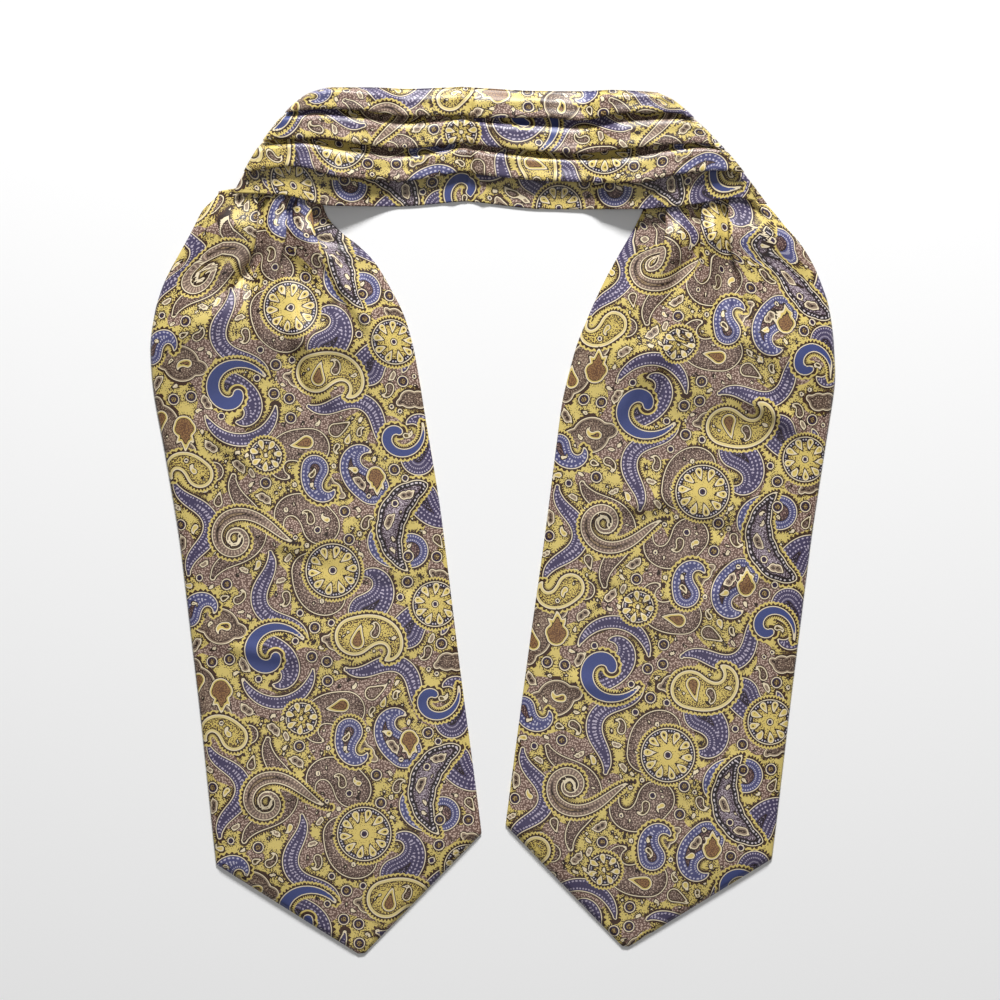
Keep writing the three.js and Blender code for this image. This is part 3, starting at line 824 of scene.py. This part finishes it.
# %% Blades
PRINT_START = {"left": 0, "right": 640, "back": 200}
blades = {}
for label, blade in (("left", LEFT), ("right", RIGHT)):
    shape = front_points(blade)
    across = length_across(shape) + REPEAT / 2
    if label == "left":
        along = PRINT_START[label] + shape[..., 1]
    else:
        across = REPEAT - across
        along = PRINT_START[label] - shape[..., 1]
    blades[label, "front"] = net(f"blade_{label}_front_silk", stand(blade, shape), across, along)
    shape = back_points(blade, columns=64)
    across = length_across(shape) + REPEAT / 2
    along = PRINT_START["back"] - shape[..., 1]
    blades[label, "back"] = net(f"blade_{label}_back_silk", stand(blade, shape), across, along)

# %% [markdown]
# ## The neckband
#
# The band is the same strip, pressed into three knife pleats so that four steps show, each
# overlapping the one below. The pleats are tacked once in the middle. Away from the tack the
# folds gape a little, and at both ends they roll over the mitre fold, where the cloth turns down
# into the blade. Four separate strips would show the same from above, but the real band is one
# cloth that runs on inside each pleat, so it is one net here, and looks right from low down too.
#
# The table counts sections from the left mitre fold to the right one. It gives where a section
# starts and ends across, where its top edge, its three folds and its lower edge lie up the table,
# how far the folds gape, how high the band lies over the table there, and how straight it is.

# %% Measurements of the neckband
BAND_DEPTHS = (8, 10, 10)
ROLL = 4.5
CORNER = 7.0
BAND = table(
    "n topX lowX top edge1 edge2 edge3 low gape base bow",
    (0, -94.0, -148.1, 248.4, 234.0, 217.9, 200.1, 188.0, 0.3, CORNER, 0.55),
    (1, -84.2, -121.6, 248.5, 235.8, 218.8, 203.0, 187.2, 0.9, CORNER, 0.75),
    (2, -68.7, -90.0, 248.5, 234.6, 216.0, 196.7, 180.6, 1.6, 6.9, 1),
    (3, -46.9, -52.6, 248.7, 232.4, 213.9, 195.5, 181.1, 1.6, 0.0, 1),
    (4, -17.0, -17.0, 249.8, 233.2, 217.4, 200.7, 184.0, 0.3, 0.0, 1),
    (5, -7.8, -7.8, 249.3, 231.6, 216.0, 199.2, 183.4, 0.3, 0.0, 1),
    (6, 27.9, 27.9, 247.4, 231.6, 212.2, 195.5, 179.6, 1.8, 0.0, 1),
    (7, 50.9, 50.9, 247.3, 230.0, 211.0, 194.6, 179.4, 2.0, 0.4, 1),
    (8, 69.3, 82.5, 247.0, 233.0, 212.9, 193.2, 178.8, 1.8, 6.9, 1),
    (9, 83.1, 114.1, 246.4, 233.7, 215.2, 198.4, 181.4, 1.4, CORNER, 0.95),
    (10, 91.1, 140.0, 245.9, 233.3, 216.2, 200.4, 185.2, 0.8, CORNER, 0.85),
    (11, 95.2, 157.3, 245.5, 231.2, 212.2, 199.5, 181.7, 0.3, CORNER, 0.75),
)
print("width of the pleated band near the tack, mm:", round(float(BAND["top"][4] - BAND["low"][4]), 1))

# %% [markdown]
# Short creases cross the strips, the sharpest of them at the tack, where the stitches pinch all
# the pleats. Each runs from one place to another, given as x and the share of the band's depth,
# and has half a width and a height.

# %% Creases of the neckband
CREASE_END = 0.12
BAND_CREASES = (
    (-12.4, -0.2, -12.4, 1.2, 1.5, -0.9), (-16.5, -0.1, -18, 0.5, 2.2, 0.6), (-8.5, 0.1, -5, 1.1, 2.4, 0.7),
    (-17, 0.55, -24, 1.1, 3.0, 0.6), (20, -0.2, 17, 0.28, 2.2, -0.7), (26, -0.1, 34, 0.3, 4.0, 0.5),
    (6, 0.3, 14, 0.7, 3.2, 0.6), (-40, 0.3, -30, 0.7, 4.0, 0.6), (-62, 0.0, -50, 0.35, 4.5, 0.6),
    (52, 0.3, 40, 0.75, 4.0, -0.5), (70, 0.6, 62, 1.1, 4.0, 0.6), (-96, 0.5, -84, 1.1, 4.0, 0.6),
)


def band_creases(x, t):
    """Soft creases that cross the band's strips, the sharpest at the tack."""
    height = 0 * x
    for x0, t0, x1, t1, width, tall in BAND_CREASES:
        share = np.clip((t - t0) / (t1 - t0), 0, 1)
        middle = mix(x0, x1, share)
        inside = ease(t, t0, t0 + CREASE_END) * (1 - ease(t, t1 - CREASE_END, t1))
        height = height + tall * inside * np.exp(-((x - middle) / width) ** 2)
    return height


print("depth of the crease at the tack, mm:", round(float(band_creases(-12.4, 0.5)), 2))

# %% Form of the neckband
BAND_ROWS = 200
ROLL_ANGLES = np.radians(np.linspace(80, 0, 10))[:-1]
GAPE_SHARES = (0.8, 1, 0.9)
BAND_SEAT = 0.5
ROLLED_PART = (0.4, 0.66)
CREASED_WITHIN = 0.5
LEAST_HEIGHT = 0.3


def band_points():
    """Net of the band: three pleats, and both ends rolled down over the mitre folds."""
    last = BAND["n"][-1]
    n = np.linspace(0, last, BAND_ROWS)
    ends = len(ROLL_ANGLES)
    n = np.concatenate([np.zeros(ends), n, np.full(ends, last)])
    turn = np.concatenate([ROLL_ANGLES, np.zeros(BAND_ROWS), ROLL_ANGLES[::-1]])
    inward = ROLL * (1 - np.sin(turn)) * (np.clip(1 - 2 * n, 0, 1) - np.clip(1 - 2 * (last - n), 0, 1))
    drop = ROLL * (1 - np.cos(turn))
    top, low = read(BAND, "top", n), read(BAND, "low", n)
    tall = top - low
    edges = [top - read(BAND, column, n) for column in ("edge1", "edge2", "edge3")]
    gape = read(BAND, "gape", n)
    section = pleated_section(0 * n, tall, edges, [0 * n + d for d in BAND_DEPTHS],
                              [0 * n + PLEAT_STEP] * 3, [gape * share for share in GAPE_SHARES], FOLD_RADIUS)
    curve = smooth_curve(section, SECTION_STEPS)
    s, h = curve[..., 0], curve[..., 1]
    t = np.clip(s / tall[:, None], 0, 1)
    top_x, low_x = read(BAND, "topX", n), read(BAND, "lowX", n)
    x = mix(top_x[:, None], low_x[:, None], t ** read(BAND, "bow", n)[:, None]) + inward[:, None]
    z = BAND_SEAT + read(BAND, "base", n)[:, None] + h - drop[:, None] * (1 - ease(t, *ROLLED_PART))
    z = z + band_creases(x, t) * np.exp(-(drop[:, None] / CREASED_WITHIN) ** 2)
    z = np.maximum(z, LEAST_HEIGHT)
    return np.stack([x + SHIFT[0], top[:, None] - s + SHIFT[1], z], axis=-1)


BAND_PRINT_START = 310
band_shape = band_points()
across = length_across(band_shape) + REPEAT / 2
neckband = net("neckband_silk", band_shape, across, band_shape[..., 0] + BAND_PRINT_START)

# %% [markdown]
# ## The cloth turned in at the corners
#
# Under each end of the band the strip folds back on itself. Layer on layer could be modelled
# there, but only the edges of those layers can be seen, from low down, and thin layers that touch
# soon poke through each other. So they are one rounded stack with stepped edges.

# %% Measurements of the stacks
FOLDS = {
    "left": ((-102, 239), (-112, 231), (-121, 220), (-129, 209), (-132, 202), (-104, 204), (-84, 212),
             (-80, 239)),
    "right": ((82, 238), (84, 216), (97, 205), (131, 201), (126, 210), (118, 221), (109, 229), (95, 238)),
}
RINGS = ((1.2, 0.05), (0.0, 0.8), (0.0, 1.6), (1.2, 2.2), (0.6, 2.9), (0.6, 3.7), (1.8, 4.3), (1.4, 5.0),
         (3.0, 6.0), (8.0, 6.4))
CAP = tuple(np.linspace(0.04, 0.96, 24))
CORNER_STEPS = 16
print("rings up the rim of a stack:", len(RINGS), "and over each of its faces:", len(CAP))

# %% Corner stacks
def stack(name, corners):
    """A closed solid with stepped edges over corners given in plan."""
    corners = np.array(corners, float) + SHIFT
    ring = np.concatenate([corners, corners[:1]])[None]
    ring = smooth_curve(ring, (CORNER_STEPS,) * len(corners))[0][:-1]
    middle = ring.mean(axis=0)
    reach = np.linalg.norm(ring - middle, axis=1)[:, None]
    points = []
    rims = [(share, *RINGS[0]) for share in CAP] + [(1, *rim) for rim in RINGS]
    rims += [(share, *RINGS[-1]) for share in CAP[::-1]]
    for share, inset, z in rims:
        flat = middle + (ring - middle) * share * (1 - inset / reach)
        points.append(np.column_stack([flat, np.full(len(flat), z)]))
    rows, columns = len(points), len(ring)
    points = np.concatenate(points + [[[*middle, RINGS[0][1]]], [[*middle, RINGS[-1][1]]]])
    faces = []
    for r in range(rows - 1):
        for c in range(columns):
            d = (c + 1) % columns
            faces.append((r * columns + c, r * columns + d, (r + 1) * columns + d, (r + 1) * columns + c))
    low, high = rows * columns, rows * columns + 1
    for c in range(columns):
        d = (c + 1) % columns
        faces.append((low, d, c))
        faces.append((high, (rows - 1) * columns + c, (rows - 1) * columns + d))
    across = points[:, 0] + PRINT_START["back"]
    piece = printed(name, points, faces, across, points[:, 1] + points[:, 2])
    bpy.ops.object.mode_set(mode="EDIT")
    bpy.ops.mesh.select_all(action="SELECT")
    bpy.ops.mesh.normals_make_consistent(inside=False)
    bpy.ops.object.mode_set(mode="OBJECT")
    bpy.ops.object.shade_smooth()
    return piece


stacks = {label: stack(f"fold_{label}_silk", corners) for label, corners in FOLDS.items()}
print("stacks:", [piece.name for piece in stacks.values()])

# %% [markdown]
# ## The silk
#
# The print's colours are a small table: for each kind of motif the width of its band, and the
# colours of the band, its pin dots, the field inside and the specks on that field. A printer
# changes a colourway in the same manner, one colour at a time. A ramp with hard steps picks the
# right colour from the motif's number, because ink has no in-between shades. Round it all goes a
# thin dark outline and a cream line.

# %% Print colours
def linear(colour):
    """A colour as seen on a screen, 0 to 255, in the linear numbers a shader takes."""
    c = np.array(colour, float) / 255
    return (*np.where(c <= 0.04045, c / 12.92, ((c + 0.055) / 1.055) ** 2.4).tolist(), 1.0)


# The width of the band, and the colours of the band, its dots, the field, its specks and its stipple.
WAYS = {
    "swirl": (30, (66, 76, 128), (66, 76, 128), (66, 76, 128), (66, 76, 128), (66, 76, 128)),
    "horn": (1.3, (226, 206, 140), (226, 206, 140), (218, 194, 106), (76, 50, 34), (218, 194, 106)),
    "curl": (1.9, (122, 102, 90), (190, 166, 144), (72, 54, 44), (150, 126, 96), (160, 138, 112)),
    "flower": (2.3, (36, 28, 40), (206, 198, 206), (220, 196, 110), (86, 58, 36), (220, 196, 110)),
    "blue": (4.4, (80, 80, 122), (190, 186, 204), (104, 76, 72), (56, 38, 42), (174, 144, 132)),
    "crescent": (2.4, (36, 28, 34), (206, 196, 198), (142, 126, 138), (58, 42, 52), (196, 184, 188)),
    "taupe": (0.0, (120, 98, 88), (190, 168, 152), (116, 94, 84), (68, 48, 40), (194, 170, 152)),
    "violet": (7.0, (72, 64, 94), (182, 172, 190), (52, 40, 60), (32, 24, 36), (156, 142, 166)),
    "night": (3.2, (38, 30, 40), (198, 186, 190), (96, 82, 112), (38, 30, 40), (160, 146, 160)),
    "leaf": (0.8, (150, 130, 110), (150, 130, 110), (120, 98, 84), (70, 52, 42), (182, 160, 138)),
    "drop": (0.3, (110, 92, 54), (110, 92, 54), (140, 118, 106), (80, 58, 46), (184, 162, 144)),
    "petal": (0.7, (220, 196, 112), (220, 196, 112), (104, 70, 48), (150, 112, 70), (104, 70, 48)),
    "heart": (0.8, (52, 38, 66), (52, 38, 66), (176, 150, 96), (70, 48, 34), (176, 150, 96)),
}
OUTLINE = (44, 28, 20)
LINE = (236, 220, 186)
YELLOW = (218, 196, 114)
FRINGE = (66, 42, 28)
TAUPE = (112, 86, 76)
STIPPLE = (200, 174, 158)
print("the ground's yellow in linear numbers:", [round(v, 3) for v in linear(YELLOW)[:3]])

# %% [markdown]
# ## A desk for shader nodes
#
# The print is decided by comparing numbers, so its material is a long chain of maths nodes. They
# could be laid out by hand in the shader editor. Here a small desk adds a node, joins what goes in
# and hands back a wire, and wires can be added, multiplied and compared with Python's own signs,
# so that the chain reads like sums on paper and is easy to change.

# %% Wires
class Wire:
    """What comes out of a node. A sign between wires and numbers adds a maths node."""

    def __init__(self, desk, socket):
        self.desk = desk
        self.socket = socket

    def __add__(self, other):
        return self.desk.math("ADD", self, other)

    def __sub__(self, other):
        return self.desk.math("SUBTRACT", self, other)

    def __rsub__(self, other):
        return self.desk.math("SUBTRACT", other, self)

    def __mul__(self, other):
        return self.desk.math("MULTIPLY", self, other)

    def __truediv__(self, other):
        return self.desk.math("DIVIDE", self, other)

    def __mod__(self, other):
        return self.desk.math("MODULO", self, other)

    def __gt__(self, other):
        return self.desk.math("GREATER_THAN", self, other)

    def __lt__(self, other):
        return self.desk.math("LESS_THAN", self, other)

    def __abs__(self):
        return self.desk.math("ABSOLUTE", self)


print("signs that wires know: + - * / % > < abs")

# %% Desk
class Desk:
    """Lays out shader nodes and joins them."""

    def __init__(self, name):
        self.material = bpy.data.materials.new(name)
        self.material.use_nodes = True
        self.tree = self.material.node_tree

    def join(self, sockets, values):
        """Join wires to sockets, or set plain values, by each socket's number or name."""
        for key, value in values.items():
            if isinstance(value, Wire):
                self.tree.links.new(value.socket, sockets[key])
            else:
                sockets[key].default_value = value

    def shade(self, values):
        """Say what the surface is like."""
        self.join(self.tree.nodes["Principled BSDF"].inputs, values)

    def node(self, kind, values, out=0, **settings):
        """Add a node with its settings and values, and hand back one of its outputs."""
        node = self.tree.nodes.new("ShaderNode" + kind)
        for name, setting in settings.items():
            setattr(node, name, setting)
        self.join(node.inputs, values)
        return Wire(self, node.outputs[out])

    def math(self, operation, *values):
        return self.node("Math", dict(enumerate(values)), operation=operation)


print("a desk can:", [name for name in vars(Desk) if not name.startswith("_")])

# %% Desk for a print
class PrintDesk(Desk):
    """A desk with the nodes that a print needs."""

    def read(self, name):
        """A number stored on the cloth's points."""
        return self.node("Attribute", {}, "Fac", attribute_name=name)

    def mix_number(self, factor, a, b):
        """A number from a to b."""
        return self.node("Mix", {0: factor, 2: a, 3: b})

    def mix(self, factor, a, b):
        """A colour from a to b."""
        return self.node("Mix", {0: factor, 6: a, 7: b}, 2, data_type="RGBA")

    def place(self, across, along, scale):
        """A place on the flat cloth, for the textures."""
        return self.node("CombineXYZ", {0: across * scale, 1: along * scale})

    def noise(self, place, detail):
        """Cloudy numbers about one half."""
        values = {"Scale": 1.0, "Detail": detail, "Vector": place}
        return self.node("TexNoise", values, "Fac", noise_dimensions="2D")

    def cells(self, place):
        """Distance to the middle of the nearest of many small cells."""
        values = {"Scale": 1.0, "Vector": place}
        return self.node("TexVoronoi", values, "Distance", voronoi_dimensions="2D")

    def pick(self, kind, colours):
        """The colour that belongs to a kind of motif."""
        node = self.tree.nodes.new("ShaderNodeValToRGB")
        node.color_ramp.interpolation = "CONSTANT"
        stops = node.color_ramp.elements
        stops[0].position, stops[0].color = 0, colours[0]
        stops.remove(stops[1])
        for i, colour in enumerate(colours[1:], 1):
            stops.new((i - 0.5) / len(colours)).color = colour
        self.join(node.inputs, {0: kind})
        return Wire(self, node.outputs[0])


print("for a print it also can:", [name for name in vars(PrintDesk) if not name.startswith("_")])

# %% [markdown]
# ## Colour inside a motif
#
# From its edge inwards a motif has a dark outline, a cream line, a band with rows of pin dots, a
# second dark line and a speckled field. Each could be a shape of its own, drawn smaller inside
# the last. The depth gives them all at once: it says which of them a point lies in, and the depth
# and the run together say whether it lies on a pin dot.

# %% Colour inside a motif
OUTLINE_WIDTH = 0.45
LINE_END = 1.0
INNER_LINE = 0.35
WIDEST_BAND = 40
DOT_PITCH = 1.9
DOT_ROWS = 2.3
DOT_SQUARE = 0.26
MANY_ROWS = 4.0
SPECK_LEVEL = 0.44
SPECK_FADE = 0.035


def motif_colour(desk, layer, speckle, stipple):
    """The colour inside a motif, from how deep a point lies and how far along it is."""
    depth, run, kind = (desk.read(f"{layer}_{name}") for name in ("depth", "run", "kind"))
    rows = [WAYS[k] for k in KINDS]
    width = desk.pick(kind, [(*[way[0] / WIDEST_BAND] * 3, 1) for way in rows]) * WIDEST_BAND
    band, dots, field, specks, light = (desk.pick(kind, [linear(way[i]) for way in rows])
                                        for i in range(1, 6))
    inner = depth - LINE_END
    pitch = desk.mix_number(width > MANY_ROWS, width, DOT_ROWS)
    row = inner % pitch - pitch * 0.5
    step = run % DOT_PITCH - DOT_PITCH / 2
    band = desk.mix(row * row + step * step < DOT_SQUARE, band, dots)
    past = inner - width
    field = desk.mix(stipple, field, light)
    field = desk.mix(speckle > past * SPECK_FADE + SPECK_LEVEL, field, specks)
    colour = desk.mix(past > 0, band, linear(OUTLINE))
    colour = desk.mix(past > INNER_LINE, colour, field)
    colour = desk.mix(inner > 0, linear(LINE), colour)
    colour = desk.mix(depth > OUTLINE_WIDTH, linear(OUTLINE), colour)
    return colour, depth, run


print("pin dots lie every", DOT_PITCH, "mm")

# %% [markdown]
# ## The ground
#
# Between the motifs the cloth is yellow. The motifs behind have a dark feathery fringe, a row of
# teeth and specks that thin out away from them, and in places the yellow gives way to a stippled
# taupe. A cloudy noise decides where, because an even ground would look flat.

# %% Ground colour
FRINGE_LEVEL = 0.45
FRINGE_FADE = 0.12
TOOTH_PITCH = 1.7
TOOTH_LENGTH = 1.9
TOOTH_FOOT = -2.1
PATCH_SCALE = 0.05
PATCH_LEVEL = 0.54


def teeth(run, pitch):
    """A row of teeth along a motif, from 0 between them to 1 at each tip."""
    return 1.0 - abs(run / pitch % 1.0 * 2.0 - 1.0)


def ground_colour(desk, across, along, speckle, stipple, nearest, depth, run):
    """Yellow with a dark fringe near the motifs, and patches of stippled taupe."""
    specks = speckle > FRINGE_LEVEL - nearest * FRINGE_FADE
    fringe = depth > teeth(run, TOOTH_PITCH) * TOOTH_LENGTH + TOOTH_FOOT
    fringe = desk.math("MAXIMUM", specks, fringe)
    yellow = desk.mix(fringe, linear(YELLOW), linear(FRINGE))
    taupe = desk.mix(stipple, linear(TAUPE), linear(STIPPLE))
    patches = desk.noise(desk.place(across, along, PATCH_SCALE), 0.0)
    return desk.mix(patches > PATCH_LEVEL, yellow, taupe)


print("patches of taupe are about this wide, mm:", round(1 / PATCH_SCALE))

# %% [markdown]
# ## The whole print
#
# On the ground come the motifs behind, a toothed yellow halo round the large ones, the large ones
# themselves and last the small ones, as a printer lays one screen over another.

# %% The whole print
SPECKLE_SCALE = 1.25
STIPPLE_SCALE = 0.8
STIPPLE_SIZE = 0.32
COMB_PITCH = 1.8
HALO_TEETH = -0.8
HALO_EDGE = -1.6
TICK_LENGTH = -1.4
TICK_FOOT = -0.1


def print_colour(desk, across, along):
    """The print's colour from the numbers stored on the cloth."""
    speckle = desk.noise(desk.place(across, along, SPECKLE_SCALE), 1.0)
    stipple = desk.cells(desk.place(across, along, STIPPLE_SCALE)) < STIPPLE_SIZE
    under, under_depth, under_run = motif_colour(desk, "under", speckle, stipple)
    over, over_depth, over_run = motif_colour(desk, "over", speckle, stipple)
    small, small_depth, _ = motif_colour(desk, "small", speckle, stipple)
    nearest = desk.math("MAXIMUM", under_depth, small_depth)
    ground = ground_colour(desk, across, along, speckle, stipple, nearest, under_depth, under_run)
    comb = teeth(over_run, COMB_PITCH)
    halo = desk.mix(over_depth > comb * TICK_LENGTH + TICK_FOOT, linear(YELLOW), linear(FRINGE))
    colour = desk.mix(under_depth > 0, ground, under)
    colour = desk.mix(over_depth > comb * HALO_TEETH + HALO_EDGE, colour, halo)
    colour = desk.mix(over_depth > 0, colour, over)
    return desk.mix(small_depth > 0, colour, small)


print("layers of motifs:", list(LAYERS))

# %% [markdown]
# ## Silk
#
# Printed silk satin is smooth, with a soft gloss and a fine slanting weave. The weave could be
# modelled thread by thread, but at this size a wave across the cloth that lifts the surface by a
# few hundredths of a millimetre is enough. The pressed band is a touch glossier than the blades,
# and the cloth folded away underneath is duller.

# %% Silk
WEAVE_TURNS = 15.0
WEAVE_SLANT = 0.6
WEAVE_HEIGHT = 0.04
WEAVE_STRENGTH = 0.25


def silk(name, roughness):
    """Printed silk of one gloss."""
    desk = PrintDesk(name)
    across, along = desk.read("across"), desk.read("along")
    twill = desk.math("SINE", (across + along * WEAVE_SLANT) * WEAVE_TURNS)
    weave = desk.node("Bump", {"Strength": WEAVE_STRENGTH, "Distance": WEAVE_HEIGHT * MM, "Height": twill})
    desk.shade({
        "Base Color": print_colour(desk, across, along), "Roughness": roughness, "Normal": weave,
        "Specular IOR Level": 0.5, "Sheen Weight": 0.1, "Sheen Roughness": 0.35,
    })
    return desk.material


band_silk = silk("neckband silk", 0.4)
blade_silk = silk("blade silk", 0.42)
folded_silk = silk("folded silk", 0.5)
print("nodes in the silk:", len(blade_silk.node_tree.nodes))

# %% Thread
desk = Desk("silk thread")
desk.shade({"Base Color": linear((122, 100, 70)), "Roughness": 0.5})
thread = desk.material
print("material:", thread.name)

# %% [markdown]
# ## The centre tack
#
# A few back stitches of silk thread hold the pleats together at the middle of the band. A bump in
# the material could hint at them, but thread stands up from the cloth and catches the light. Each
# stitch is a short line that is laid over its fold and dips into the cloth at both ends. All nine
# lie in one bevelled curve, which is then made a mesh.

# %% A stitch
THREAD = 0.34
TACK_X = -12.4
STITCH_REACH = 2.2
STITCH_LEAN = 0.25
STITCH_LIFTS = ((-1, -0.5), (-0.85, 0.25), (-0.3, 0.45), (0.3, 0.45), (0.85, 0.25), (1, -0.5))


def surface(shape, x, y):
    """Height of a net's upper side at a place seen from above."""
    away = np.hypot(shape[..., 0] - x, shape[..., 1] - y)
    return shape[..., 2][away < max(1.2, away.min() + 0.4)].max()


def stitch(shape, x, y):
    """A thread that comes up out of the cloth, crosses a fold and goes down again."""
    line = []
    for step, lift in STITCH_LIFTS:
        at = (x + STITCH_LEAN * step, y - step * STITCH_REACH)
        line.append((*at, surface(shape, *at) + lift))
    return line


middle_row = np.abs(band_shape[:, 0, 0] - TACK_X).argmin()
around_tack = band_shape[middle_row - 4:middle_row + 5]
print("rows of the band under the tack:", len(around_tack))

# %% Centre tack
curve = bpy.data.curves.new("centre_tack", "CURVE")
curve.dimensions = "3D"
curve.bevel_depth = THREAD / 2 * MM
curve.bevel_resolution = 1
curve.resolution_u = 3
for column in ("edge1", "edge2", "edge3"):
    fold_y = float(read(BAND, column, 4.5)) + SHIFT[1]
    for beside in (-1.3, 0.0, 1.2):
        line = stitch(around_tack, TACK_X + beside, fold_y + 0.3 * beside)
        spline = curve.splines.new("POLY")
        spline.points.add(len(line) - 1)
        for point, place in zip(spline.points, line):
            point.co = (*(v * MM for v in place), 1)
tack = bpy.data.objects.new("centre_tack", curve)
put_down(tack)
bpy.ops.object.convert(target="MESH")
tack = bpy.context.active_object
bpy.ops.object.shade_smooth()
print("faces of the nine stitches:", len(tack.data.polygons))

# %% [markdown]
# ## Putting the pieces on the frame
#
# Each piece rides on the one body and takes its finish, and the solid it stands for is hidden.

# %% Dress the frame
def dress(piece, node, material):
    """Join a sheet to the frame: its body and its finish, and hide its solid."""
    piece.data.materials.clear()
    piece.data.materials.append(material)
    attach(piece, "root")
    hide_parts(node)


for label in ("left", "right"):
    front, back = blades[label, "front"], blades[label, "back"]
    dress(back, f"blade_{label}_back", blade_silk)
    dress(front, f"blade_{label}_front", blade_silk)
    dress(stacks[label], f"fold_{label}", folded_silk)
dress(neckband, "neckband", band_silk)
tack.data.materials.clear()
tack.data.materials.append(thread)
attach(tack, "root")
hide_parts("neckband")
print("dressed:", len(blades) + len(stacks) + 2, "pieces")

# %% [markdown]
# ## Table and light
#
# The table is a plain pale surface. An even light from all round would be simpler, but it fills
# every fold and the pleats vanish. So a soft light stands low beyond the neckband, and the folds
# throw their shadows down the blades. A weak one hangs overhead, where the flat silk mirrors it
# faintly and the creases don't.

# %% Table
TABLE_SIZE = 6
TABLE_DROP = -0.0002
bpy.ops.mesh.primitive_plane_add(size=TABLE_SIZE, location=(0, 0, TABLE_DROP))
table_top = bpy.context.active_object
table_top.name = "table_top"
desk = Desk("pale table")
desk.shade({"Base Color": linear((250, 250, 250)), "Roughness": 0.9})
table_top.data.materials.append(desk.material)
print("table:", [round(v, 1) for v in table_top.dimensions[:2]], "m")

# %% Lights
def soft_light(name, place, size, power):
    """A soft panel of light that faces the cravat."""
    light = bpy.data.lights.new(name, "AREA")
    light.shape = "RECTANGLE"
    light.size, light.size_y = size
    light.energy = power
    lamp = bpy.data.objects.new(name, light)
    lamp.location = place
    lamp.rotation_euler = (-mathutils.Vector(place)).to_track_quat("-Z", "Y").to_euler()
    scene.collection.objects.link(lamp)
    print(name, "light, m from the cravat:", round(lamp.location.length, 2))


soft_light("window", (0.15, 2.5, 1.28), (0.7, 0.5), 118)
soft_light("overhead", (-0.05, -0.2, 2.3), (1.2, 1.2), 7)
world = bpy.data.worlds.new("room")
scene.world = world
world.use_nodes = True
room_light = world.node_tree.nodes["Background"].inputs
room_light["Color"].default_value = (1, 1, 1, 1)
room_light["Strength"].default_value = 0.14

# %% [markdown]
# ## The size of the sheets
#
# The sheets should fill the same box as the solids they stand for, give or take a few millimetres.
